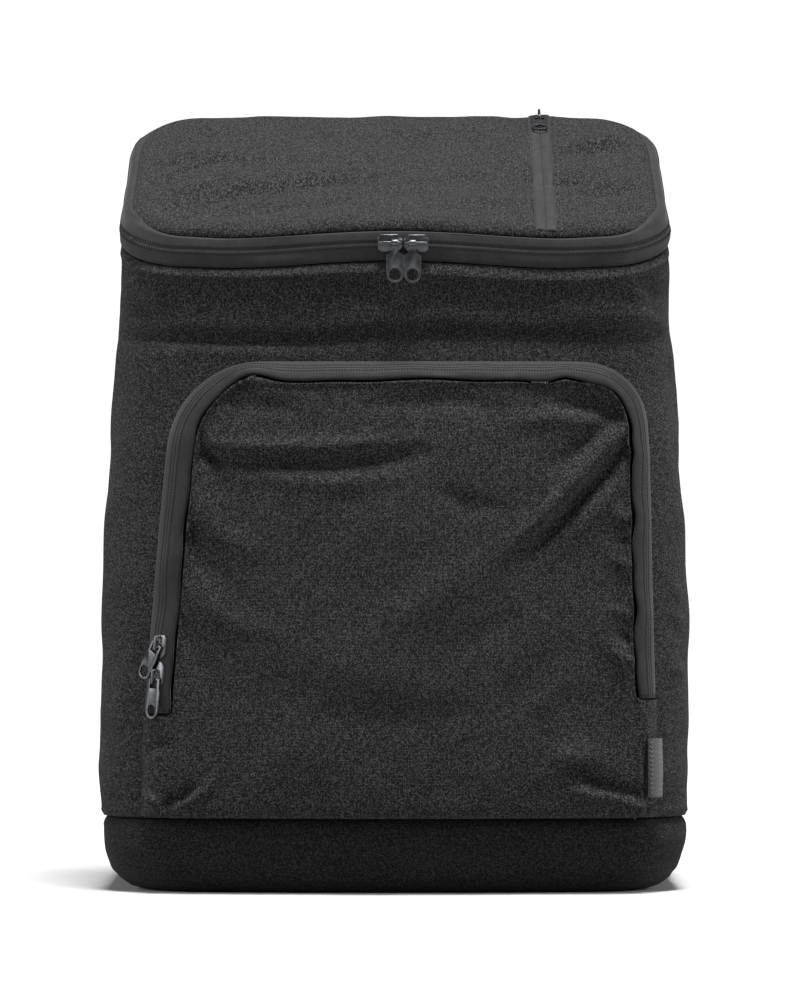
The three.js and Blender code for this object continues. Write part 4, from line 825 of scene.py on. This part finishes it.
def pocket_corner(side, share, inset=0.0):
    sign = -1 if side == "left" else 1
    radius = POCKET_CORNER[side]
    angle = share * math.pi / 2
    start = POCKET_TOP - radius
    z = start + radius * math.sin(angle)
    outer_x, _, inner_x, _ = pocket_station(side, z, inset)
    band = abs(outer_x - inner_x)
    swing = 1 - math.cos(angle)
    inner_z = start + (radius - POCKET_BAND_TOP - inset) * math.sin(angle)
    return np.array([outer_x - sign * radius * swing, z, inner_x - sign * (radius - band) * swing, inner_z])


def rising(side, low, inset=0.0, steps=60, turns=16):
    straight = [pocket_station(side, z, inset) for z in np.linspace(low, POCKET_TOP - POCKET_CORNER[side], steps)]
    return straight + [pocket_corner(side, s, inset) for s in np.linspace(0, 1, turns + 1)[1:]]


def band_rise(x, z):
    return front_face(x, z) - 1.9 - POCKET_BULGE


# height, place and width of each rise or dip of the zip's inner edge along its top
EDGE_BUMPS = [
    (3.6, -75, 11), (-1.4, -100, 9), (-0.9, -48, 14), (1.9, 90, 7), (-1.6, 78, 9), (-1.2, 106, 7), (0.9, 20, 26),
]


def edge_shift(x, z):
    """The pocket's inner zip edge wanders: how far it moves across and up at a place beside it."""
    top = np.clip((z - 244) / 22, 0, 1)
    rise = 0.35 * np.sin(x / 9)
    for high, middle, wide in EDGE_BUMPS:
        rise = rise + high * np.exp(-(((x - middle) / wide) ** 2))
    side = (1 - top) * np.clip((z - 92) / 10, 0, 1)
    wander = 0.55 * np.sin(z / 7.5) + 0.35 * np.sin(z / 3.9 + 1) + 1.4 * np.exp(-(((z - 233) / 6) ** 2))
    wander = np.where(x > 0, wander * 1.25, 0.5 * np.sin(z / 11) + 0.3 * np.sin(z / 4.6))
    return wander * side, rise * top


def band_points(station, shares):
    outer_x, outer_z, inner_x, inner_z = (station[..., k][:, None] for k in range(4))
    x = outer_x + (inner_x - outer_x) * shares
    z = outer_z + (inner_z - outer_z) * shares
    low = front_face(outer_x, outer_z) - 0.3
    high = band_rise(inner_x, inner_z)
    rise = np.interp(shares, np.linspace(0, 1, 11), [0, 0.3, 0.53, 0.7, 0.82, 0.9, 0.96, 1.0, 1.03, 1.03, 0.97])
    return np.stack([x, low + (high - low) * rise, z + 0 * x], -1)


COIL_SHARE = 0.36
band_shares = np.concatenate([
    np.linspace(0, 0.33, 9)[:-1], np.linspace(0.33, 0.39, 7), np.linspace(0.39, 1, 16)[1:]
])[None, :]
left_rise = rising("left", ZIP_END["left"])
right_rise = rising("right", ZIP_END["right"])[::-1]
top_run = [left_rise[-1] + (right_rise[0] - left_rise[-1]) * t for t in np.linspace(0, 1, 72)[1:-1]]
stations = np.array(left_rise + top_run + right_rise)
for _ in range(6):
    stations[1:-1] = 0.25 * stations[:-2] + 0.5 * stations[1:-1] + 0.25 * stations[2:]
across, up_edge = edge_shift(stations[:, 2], stations[:, 3])
stations[:, 2] += across
stations[:, 3] += up_edge
pocket_band_grid = band_points(stations, band_shares)
band_length = np.append(0, np.cumsum(np.linalg.norm(np.diff(stations[:, :2], axis=0), axis=1)))[:, None]
groove = -0.45 * np.exp(-(((band_shares - COIL_SHARE) / 0.016) ** 2))
edges = -0.6 * np.exp(-((band_shares / 0.04) ** 2)) - 0.8 * np.exp(-(((band_shares - 1) / 0.04) ** 2))
wavy = sway(band_length, band_shares * 16, 31, 45, 0.45) * np.sin(np.pi * band_shares)
pocket_band_grid = pushed(pocket_band_grid, groove + edges + wavy)
pocket_tape = cloth("pocket_zip_band", pocket_band_grid, zip_tape)
pocket_out = grid_normals(pocket_band_grid, (0, -1, 0))
apply_modifier(pocket_tape, "SOLIDIFY", thickness=1.2 * MM, offset=-1, use_rim=True)
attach(pocket_tape, "bag")
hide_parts("pocket_zip_tape")
# The pocket zip's ticks take the same dark colour, painted shade for the gaps between the coil's ribs.
for side in (-1, 1):
    column = int(np.argmin(np.abs(band_shares[0] - COIL_SHARE - side * 0.1)))
    ticks = repeated(
        "pocket_zip_ticks_" + ("inner" if side > 0 else "outer"),
        rib_pattern(TICK["width"], 1.2, TICK["height"]),
        along_line(pocket_band_grid[:, column], pocket_out[:, column], TICK["pitch"], start=0.6),
        tick_painted_shade,
    )
    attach(ticks, "bag")

POCKET_FOLDS = [
    ([(-112, 240), (-80, 237), (-40, 237), (0, 240), (10, 242)], 4.0, 1.9),
    ([(-116, 232), (-80, 229), (-40, 228), (0, 231), (20, 234)], 4.0, -2.4),
    ([(-70, 220), (-30, 217), (10, 222)], 5.0, 1.0), ([(20, 214), (40, 206), (62, 204)], 5.0, -1.2),
    ([(129, 252), (112, 236), (94, 218), (76, 198), (52, 178)], 4.6, 2.4),
    ([(126, 240), (108, 220), (90, 200), (70, 182)], 4.6, -2.8),
    ([(118, 254), (100, 240), (84, 226)], 4.6, -2.4), ([(84, 262), (104, 259), (124, 251)], 5.0, -2.6),
    ([(60, 250), (84, 252), (104, 250)], 5.0, 1.6), ([(122, 222), (104, 202), (92, 186)], 5.0, 1.4),
    ([(-112, 252), (-98, 234), (-88, 214)], 5.0, -1.8), ([(-108, 214), (-92, 192), (-70, 178)], 6.0, 1.4),
    ([(-116, 200), (-100, 176), (-84, 162)], 5.0, -1.5), ([(-112, 168), (-90, 146), (-60, 138)], 7.0, 1.1),
    ([(-118, 150), (-104, 130), (-96, 112)], 5.0, -1.0),
    ([(84, 68), (97, 64), (109, 58), (118, 56), (130, 52)], 2.8, -2.4),
    ([(92, 56), (107, 52), (119, 50), (130, 46), (137, 44)], 3.0, 2.2),
    ([(76, 62), (90, 74), (112, 72)], 5.0, 1.4), ([(-134, 54), (-128, 49), (-124, 45)], 2.4, 1.8),
    ([(-124, 45), (-118, 50), (-112, 52), (-104, 58)], 2.4, -2.0),
    ([(-116, 46), (-106, 50), (-96, 60)], 2.8, 1.8), ([(-134, 77), (-128, 79), (-118, 80)], 2.4, -1.2),
    ([(110, 152), (122, 110)], 6.0, 1.1), ([(60, 182), (20, 156), (-20, 132)], 10.0, 1.2),
    ([(-80, 132), (20, 110)], 12.0, 0.9), ([(70, 150), (30, 128)], 8.0, -0.9),
    ([(112, 204), (127, 197)], 2.8, 1.2), ([(114, 190), (128, 184)], 2.6, -1.1),
    ([(114, 178), (128, 172)], 2.8, 1.2), ([(112, 152), (128, 147)], 2.8, 1.2),
    ([(114, 139), (128, 134)], 2.6, -1.1), ([(114, 128), (129, 122)], 2.8, 1.3),
    ([(100, 122), (70, 96)], 6.0, 1.0), ([(-20, 258), (30, 262), (60, 256)], 5.0, -1.2),
    ([(-90, 262), (-50, 256)], 5.0, -1.2), ([(-60, 100), (0, 92), (50, 100)], 8.0, -0.8),
    ([(-134.5, 43), (-134.5, 76)], 1.3, -1.3), ([(-137.5, 43), (-137.5, 76)], 1.5, 0.8),
    ([(133.0, 43), (133.5, 78)], 1.3, -1.3), ([(130.0, 43), (130.5, 70)], 1.6, 0.7),
]
HEM = 5.0


def pocket_front_point(left, right, u, roll=None):
    t = (u + 1) / 2
    x = left[0] + (right[0] - left[0]) * t
    z = left[1] + (right[1] - left[1]) * t
    top = POCKET_TOP - POCKET_BAND_TOP - 1
    rise = np.sin(math.pi * np.clip((z - BASE_HEIGHT + 60) / (top - BASE_HEIGHT + 60), 0, 1))
    fill = POCKET_FILL * rise * np.maximum(0, 1 - u**2) ** 0.8
    soft = sway(x, z, 41, 60, 0.8) + sway(x, z, 42, 21, 0.16)
    face = band_rise(x, z) - fill - soft * (1 - u**6)
    if roll is not None:
        wall = front_face(x, z) - 0.6
        face = wall + (face - wall) * roll
    return np.stack([x, face, z + 0 * x], -1)


def pocket_flank(side, row, edge, z):
    """The cloth beside a row of the panel: its own side down to the wall, or above the zip's end a hem."""
    shares = np.linspace(0, 1, 15)[1:, None]
    behind = edge + shares * np.array([0, HEM, 0])
    if z > ZIP_END[side] - 1 or row < 4:
        return behind
    station = np.array([pocket_station(side, z)])
    return band_points(station, np.linspace(1, 0, 15)[None, 1:])[0]


u_line = np.sin(np.linspace(-1, 1, 131) * math.pi / 2 * 0.985) / math.sin(math.pi / 2 * 0.985)
rolls = [
    (1.4, 0.0), (0.3, 0.2), (0.0, 0.45), (0.2, 0.62), (0.9, 0.78), (2.0, 0.9), (3.6, 0.97), (5.6, 1.0),
    (8, 1.01), (11, 1.0),
]
edges_low = [(BASE_HEIGHT + 0.3 + lift, roll) for lift, roll in rolls]
panel_rows = [
    (pocket_station("left", z, 0.7)[2:], pocket_station("right", z, 0.7)[2:], roll, z) for z, roll in edges_low
]
left_side = rising("left", BASE_HEIGHT + 14, 0.7, steps=90, turns=18)
right_side = rising("right", BASE_HEIGHT + 14, 0.7, steps=90, turns=18)
panel_rows += [
    (left[2:], right[2:], None, (left[3] + right[3]) / 2) for left, right in zip(left_side, right_side)
]
front_rows = []
for row, (left, right, roll, z) in enumerate(panel_rows):
    points = pocket_front_point(left, right, u_line, roll)
    flank_left = pocket_flank("left", row, points[0], left[1])
    flank_right = pocket_flank("right", row, points[-1], right[1])
    front_rows.append(np.concatenate([flank_left[::-1], points, flank_right]))
front_grid = np.array(front_rows)
count = len(u_line)
to_top = np.exp(-np.arange(len(front_grid))[::-1] / 7.0)[:, None]
to_sides = np.exp(-np.minimum(np.arange(count), np.arange(count)[::-1]) / 4.0)[None, :]
across, up_edge = edge_shift(front_grid[:, 14:-14, 0], front_grid[:, 14:-14, 2])
front_grid[:, 14:-14, 0] += across * to_sides
front_grid[:, 14:-14, 2] += up_edge * to_top
border = np.minimum(
    np.minimum(np.arange(count), np.arange(count)[::-1])[None, :],
    (np.arange(len(front_grid))[::-1] * 1.5)[:, None],
)
edge_roll = -1.7 * np.exp(-((border / 1.5) ** 2)) + 1.1 * np.exp(-(((border - 4) / 2.6) ** 2))
above_zip_end = np.stack([
    np.interp(front_grid[:, 14, 2], [ZIP_END["left"] - 3, ZIP_END["left"]], [0, 1]),
    np.interp(front_grid[:, -15, 2], [ZIP_END["right"] - 3, ZIP_END["right"]], [0, 1]),
], -1)
to_right = (u_line[None, :] + 1) / 2
shown_edge = above_zip_end[:, :1] * (1 - to_right) + above_zip_end[:, 1:] * to_right
front_height = np.zeros(front_grid.shape[:2])
front_height[:, 14:-14] = edge_roll * shown_edge
low = front_grid[:, :, 2] < 96
for _ in range(10):
    blurred = front_grid.copy()
    blurred[:, 1:-1] = 0.25 * front_grid[:, :-2] + 0.5 * front_grid[:, 1:-1] + 0.25 * front_grid[:, 2:]
    near_join = np.zeros(front_grid.shape[:2], bool)
    near_join[4:, 9:24] = True
    near_join[4:, -24:-9] = True
    front_grid = np.where((near_join & low)[..., None], blurred, front_grid)
crumple = 1.9 * folds(front_grid[..., 0], front_grid[..., 2], POCKET_FOLDS)
crumple[:4] *= 0.3
crumple[:, :14] *= low[:, :14]
crumple[:, -14:] *= low[:, -14:]
fixed_edge = np.clip(border / 8, 0, 1) * shown_edge + (1 - shown_edge)
crumple[:, 14:-14] *= fixed_edge
crumple[:, 0] = crumple[:, -1] = 0
pocket_uv = np.stack([front_grid[..., 0], front_grid[..., 2]], -1)
pocket_front = cloth("pocket_front", pushed(front_grid, front_height + crumple), heather_cloth, uv=pocket_uv)
apply_modifier(pocket_front, "SOLIDIFY", thickness=1.4 * MM, offset=-1, use_rim=True)
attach(pocket_front, "bag")
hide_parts("pocket_panel", "pocket_gusset_left", "pocket_gusset_right")


def ribbed_webbing(name, dark, light):
    """Woven nylon tape: close ribs across it, 1.2 mm apart, with a slight silky shine."""
    material, tree, shader = new_material(name)
    own = node(tree, "ShaderNodeUVMap", uv_map="cloth")
    rib_place = node(tree, "ShaderNodeMapping", {"Vector": own, "Scale": (1 / 0.0024, 1 / 0.0012, 1)})
    split = node(tree, "ShaderNodeSeparateXYZ", {"Vector": rib_place})
    turn_u, turn_v = (
        node(tree, "ShaderNodeMath", {0: split.outputs[axis], 1: math.pi}, operation="MULTIPLY") for axis in "XY"
    )
    lean = node(tree, "ShaderNodeMath", {0: turn_u, 1: turn_v}, operation="ADD")
    wave_u, wave_v = (node(tree, "ShaderNodeMath", {0: turn}, operation="SINE") for turn in (turn_u, lean))
    weave = node(tree, "ShaderNodeMath", {0: wave_u, 1: wave_v}, operation="MULTIPLY")
    fibre = node(tree, "ShaderNodeTexNoise", {"Vector": rib_place, "Scale": 3.0, "Detail": 2.0})
    tone = node(tree, "ShaderNodeMath", {0: weave, 1: fibre}, operation="MULTIPLY")
    bump = node(tree, "ShaderNodeBump", {"Height": weave, "Strength": 0.6, "Distance": 0.0003})
    coloured(tree, shader, tone, [(0.0, dark), (0.5, light)], bump)
    shader.inputs["Roughness"].default_value = 0.55
    shader.inputs["Sheen Weight"].default_value = 0.1
    return material


nylon_webbing = ribbed_webbing("woven_nylon_webbing", "#09090a", "#161617")
RIBBON = {"low": 51.5, "high": 82.5, "ply": 1.0, "slack": 1.2}
ribbon_z = np.linspace(RIBBON["low"], RIBBON["high"], 30)
ribbon_rows = []
for z in ribbon_z:
    station = np.array([pocket_station("right", z)])
    shares = np.linspace(0.06, 0.5, 26)[None, :]
    points = band_points(station, shares)[0]
    tangent = np.gradient(points[:, :2], axis=0)
    out = np.stack([-tangent[:, 1], tangent[:, 0]], -1)
    out /= np.linalg.norm(out, axis=1, keepdims=True)
    out *= np.sign(out[:, :1])
    lie = 0.75 + 0.25 * math.sin((z - 50) / 9)
    inner = points[:, :2] + out * 1.1
    outer = points[:, :2] + out * (2.3 + RIBBON["slack"] * lie)
    middle = (inner[-1] + outer[-1]) / 2
    reach = (inner[-1] - inner[-2]) / np.linalg.norm(inner[-1] - inner[-2])
    size = np.linalg.norm(outer[-1] - inner[-1]) / 2
    rise = (outer[-1] - inner[-1]) / (2 * size)
    bend = np.array([
        middle + size * (reach * math.sin(t) - rise * math.cos(t)) for t in np.linspace(0, math.pi, 13)[1:-1]
    ])
    plan = np.concatenate([inner, bend, outer[::-1]])
    ribbon_rows.append(np.column_stack([plan, np.full(len(plan), z)]))
ribbon = cloth("pocket_ribbon", np.array(ribbon_rows), nylon_webbing, outward=(1, -1, 0))
apply_modifier(ribbon, "SOLIDIFY", thickness=0.6 * MM, offset=0, use_rim=True)
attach(ribbon, "bag")
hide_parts("seam_loop")


# Back panel
# A padded panel of black spacer mesh, bound to the walls and quilted into two columns by a channel
# down its middle. It lies against the wearer and is plain.
# Warp-knitted polyester spacer mesh: open cells between matt ribs, their pits darkened with painted shade.
spacer_mesh, tree, shader = new_material("polyester_spacer_mesh")
own = node(tree, "ShaderNodeUVMap", uv_map="cloth")
cell_place = node(tree, "ShaderNodeMapping", {"Vector": own, "Scale": (1 / 0.0026, 1 / 0.0022, 1)})
cells = node(tree, "ShaderNodeTexVoronoi", {"Vector": cell_place, "Scale": 1.0, "Randomness": 0.25})
depth = cells.outputs["Distance"]
bump = node(tree, "ShaderNodeBump", {"Height": depth, "Strength": 0.8, "Distance": 0.0006})
coloured(tree, shader, depth, [(0.2, "#0e0e0f"), (0.42, "#2a2a2c")], bump)
shader.inputs["Roughness"].default_value = 0.95
shader.inputs["Sheen Weight"].default_value = 0.15

back_u = np.linspace(-1, 1, 101)[None, :]
back_v = np.linspace(0, 1, 141)[:, None]
back_top = rim_height(0, BACK) + BAND_HEIGHT - 0.4
back_z = bottom + (back_top - bottom) * back_v + 0 * back_u
back_x = back_u * (wall_half(back_z) - 0.2)
to_edge = np.minimum((1 - np.abs(back_u)) * HALF, np.minimum(back_v, 1 - back_v) * (back_top - bottom))
pad = 3.2 * (1 - np.exp(-to_edge / 5.0)) - 2.6 * np.exp(-((back_x / 7) ** 2)) * np.clip(to_edge / 30, 0, 1)
for level in (130.0, 215.0, 300.0):
    pad -= 1.9 * np.exp(-(((back_z - level) / 4.5) ** 2)) * np.clip(to_edge / 14, 0, 1)
pad += sway(back_x, back_z, 51, 50, 0.25)
back_grid = np.stack([back_x, BACK - 3.0 + np.minimum(pad, 3.0), back_z], -1)
back_panel = cloth("padded_back", back_grid, spacer_mesh, outward=(0, 1, 0))
apply_modifier(back_panel, "SOLIDIFY", thickness=6.5 * MM, offset=-1, use_rim=True)
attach(back_panel, "bag")
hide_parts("back_panel")


# Shoulder straps
# Foam straps with a bound edge, covered here all round in the spacer mesh, though the real ones have the
# heathered cloth outside. Each is sewn into the back seam and narrows down to its buckle.
def swept(stations, profile, side=(1, 0, 0)):
    """Rows of points round a closed cross-section carried along stations of (x, y, z, width, thick)."""
    rows = []
    centre = stations[:, :3]
    tangent = np.gradient(centre, axis=0)
    tangent /= np.linalg.norm(tangent, axis=1, keepdims=True)
    side = np.array(side, float)
    for place, t, (width, thick) in zip(centre, tangent, stations[:, 3:5]):
        normal = np.cross(t, side)
        normal /= np.linalg.norm(normal)
        rows.append(place + side * (profile[:, :1] * width / 2) + normal * (profile[:, 1:] * thick / 2))
    return np.array(rows)


def eased(rows, steps):
    """Stations on a smooth curve through the rows."""
    rows = np.array(rows, float)
    keys = np.append(0, np.cumsum(np.linalg.norm(np.diff(rows[:, :3], axis=0), axis=1)))
    at = np.linspace(0, keys[-1], steps)
    out = np.stack([np.interp(at, keys, rows[:, k]) for k in range(rows.shape[1])], -1)
    for _ in range(max(2, steps // 14)):
        out[1:-1] = 0.25 * out[:-2] + 0.5 * out[1:-1] + 0.25 * out[2:]
    return out


def closed_sweep(name, stations, profile, material, side=(1, 0, 0)):
    grid = swept(stations, profile, side)
    first = np.repeat(grid[:1].mean(1, keepdims=True), grid.shape[1], 1)
    last = np.repeat(grid[-1:].mean(1, keepdims=True), grid.shape[1], 1)
    piece = cloth(name, np.concatenate([first, grid, last]), material, closed=True, outward=(0, 1, 0))
    bpy.ops.object.select_all(action="DESELECT")
    piece.select_set(True)
    bpy.context.view_layer.objects.active = piece
    bpy.ops.object.mode_set(mode="EDIT")
    bpy.ops.mesh.select_all(action="SELECT")
    bpy.ops.mesh.remove_doubles(threshold=0.00001)
    bpy.ops.mesh.normals_make_consistent(inside=False)
    bpy.ops.object.mode_set(mode="OBJECT")
    return piece


STRAP_WIDTH, STRAP_THICK = 64.0, 9.0
STRAP_LINE = [
    (0.28, 0.0262, 1.19, 0.9), (0.29, 0.03, 1.155, 1.0), (0.3, 0.12, 1.12, 1.0), (0.33, 0.24, 1.05, 1.0),
    (0.38, 0.31, 0.93, 1.0), (0.43, 0.32, 0.78, 0.95), (0.48, 0.27, 0.63, 0.85), (0.52, 0.19, 0.54, 0.62),
    (0.54, 0.125, 0.46, 0.42),
]
LOCK_X, LOCK_Y, LOCK_Z = 86.11, 116.0, 128.31
LOCK_BAR_Z = 139.31
pad_profile = np.array(
    [(x, 0.35 + 0.62 * (1 - abs(x / 0.9) ** 2.6)) for x in np.linspace(-0.9, 0.9, 21)]
    + [(0.95, 0.3), (0.99, 0.15), (0.99, -0.15), (0.95, -0.3)]
    + [(x, -0.35 - 0.62 * (1 - abs(x / 0.9) ** 2.6)) for x in np.linspace(0.9, -0.9, 21)]
    + [(-0.95, -0.3), (-0.99, -0.15), (-0.99, 0.15), (-0.95, 0.3)]
)
for side, sign in (("left", -1), ("right", 1)):
    rows = [
        (sign * HALF * s, BACK + out * DEPTH, high * FRONT_HEIGHT, STRAP_WIDTH * wide, STRAP_THICK)
        for s, out, high, wide in STRAP_LINE
    ]
    rows.append((sign * LOCK_X, LOCK_Y, LOCK_BAR_Z + 6.5, 24.0, 7.0))
    stations_strap = eased(rows, 110)
    strap = closed_sweep("padded_strap_" + side, stations_strap, pad_profile, spacer_mesh)
    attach(strap, "bag")
    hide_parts("shoulder_strap_" + side)

    edge = stations_strap.copy()
    for flank in (-1, 1):
        binding_line = np.column_stack([
            edge[:, 0] + flank * edge[:, 3] * 0.475, edge[:, 1], edge[:, 2],
            np.full(len(edge), 4.2), np.full(len(edge), 4.6),
        ])
        binding_profile = np.array([(math.cos(t), math.sin(t)) for t in np.linspace(0, 2 * math.pi, 17)[:-1]])
        binding = closed_sweep(
            f"strap_binding_{side}_" + ("left" if flank < 0 else "right"),
            binding_line[1:], binding_profile, nylon_webbing,
        )
        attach(binding, "bag")


# Strap fittings
# Each strap ends in a moulded ladder lock. Nylon webbing goes from a cloth tab at the bag's lower
# corner up through the lock and hangs down as a tail. The haul handle is a loop of the same webbing.
# Moulded acetal: satin black with the faint grain of the tool's spark-eroded face.
acetal, tree, shader = new_material("moulded_acetal")
place = node(tree, "ShaderNodeTexCoord")
spark = node(tree, "ShaderNodeTexNoise", {"Vector": place.outputs["Object"], "Scale": 1400.0, "Detail": 3.0})
bump = node(tree, "ShaderNodeBump", {"Height": spark, "Strength": 0.1, "Distance": 0.0001})
coloured(tree, shader, spark, [(0.3, "#161617"), (0.7, "#222224")], bump)
shader.inputs["Roughness"].default_value = 0.42
shader.inputs["IOR"].default_value = 1.48

webbing_profile = np.array(
    [(x, 1.0) for x in np.linspace(-0.94, 0.94, 13)] + [(1.0, 0.4), (1.0, -0.4)]
    + [(x, -1.0) for x in np.linspace(0.94, -0.94, 13)] + [(-1.0, -0.4), (-1.0, 0.4)]
)
beside = 4.0 / 2 + 1.8 / 2 + 0.7
over = LOCK_Z + 2.0
anchor_out = BACK + 0.3 + 3.0 + 0.3 + 0.9
for side, sign in (("left", -1), ("right", 1)):
    lock = softened_copy("ladder_lock_" + side, "moulded_lock_" + side, acetal, 0.7, 3)
    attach(lock, "bag")
    line = [
        (116, anchor_out + 0.1, 47), (113, anchor_out + 0.2, 62), (100, anchor_out + 6, 90),
        (LOCK_X + 2, LOCK_Y - beside - 0.8, LOCK_Z - 16), (LOCK_X, LOCK_Y - beside, LOCK_Z - 4),
        (LOCK_X, LOCK_Y - beside, over - 0.5), (LOCK_X, LOCK_Y - beside + 0.7, over + 1.8),
        (LOCK_X, LOCK_Y, over + 2.9),
        (LOCK_X, LOCK_Y + beside - 0.7, over + 1.8), (LOCK_X, LOCK_Y + beside, over - 0.5),
        (LOCK_X, LOCK_Y + beside, LOCK_Z - 12), (LOCK_X, LOCK_Y + beside + 1, LOCK_Z - 30),
        (LOCK_X, LOCK_Y + beside, LOCK_Z - 62),
    ]
    rows = np.array([(sign * x, y, z, 24.6, 1.6) for x, y, z in line])
    keys = np.append(0, np.cumsum(np.linalg.norm(np.diff(rows[:, :3], axis=0), axis=1)))
    at = np.unique(np.concatenate([np.linspace(0, keys[-1], 90), keys]))
    webbing_line = np.stack([np.interp(at, keys, rows[:, k]) for k in range(5)], -1)
    webbing = closed_sweep("strap_webbing_tape_" + side, webbing_line, webbing_profile, nylon_webbing)
    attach(webbing, "bag")
    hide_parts("strap_webbing_" + side)

    # The tab takes the base's darker cloth, whose darkness is painted shade.
    tab = softened_copy("strap_anchor_" + side, "corner_tab_" + side, base_shaded_cloth, 0.9, 3)
    corners = np.array([v.co[:] for v in tab.data.vertices])
    tab_uv = tab.data.uv_layers.new(name="cloth") if not tab.data.uv_layers else tab.data.uv_layers[0]
    tab_uv.name = "cloth"
    for loop in tab.data.loops:
        tab_uv.data[loop.index].uv = (corners[loop.vertex_index][0], corners[loop.vertex_index][2])
    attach(tab, "bag")

HANDLE_ROWS = [
    (-1, 0.02), (-0.88, 0.02), (-0.74, 0.12), (-0.5, 0.68), (-0.25, 0.93), (0, 1), (0.25, 0.93), (0.5, 0.68),
    (0.74, 0.12), (0.88, 0.02), (1, 0.02),
]
handle_line = eased([(x * 42, BACK + 1.8 + out * 24, 401.0, 18.0, 3.0) for x, out in HANDLE_ROWS], 70)
handle = closed_sweep("haul_loop", handle_line, webbing_profile, nylon_webbing, side=(0, 0, 1))
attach(handle, "bag")
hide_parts("haul_handle")
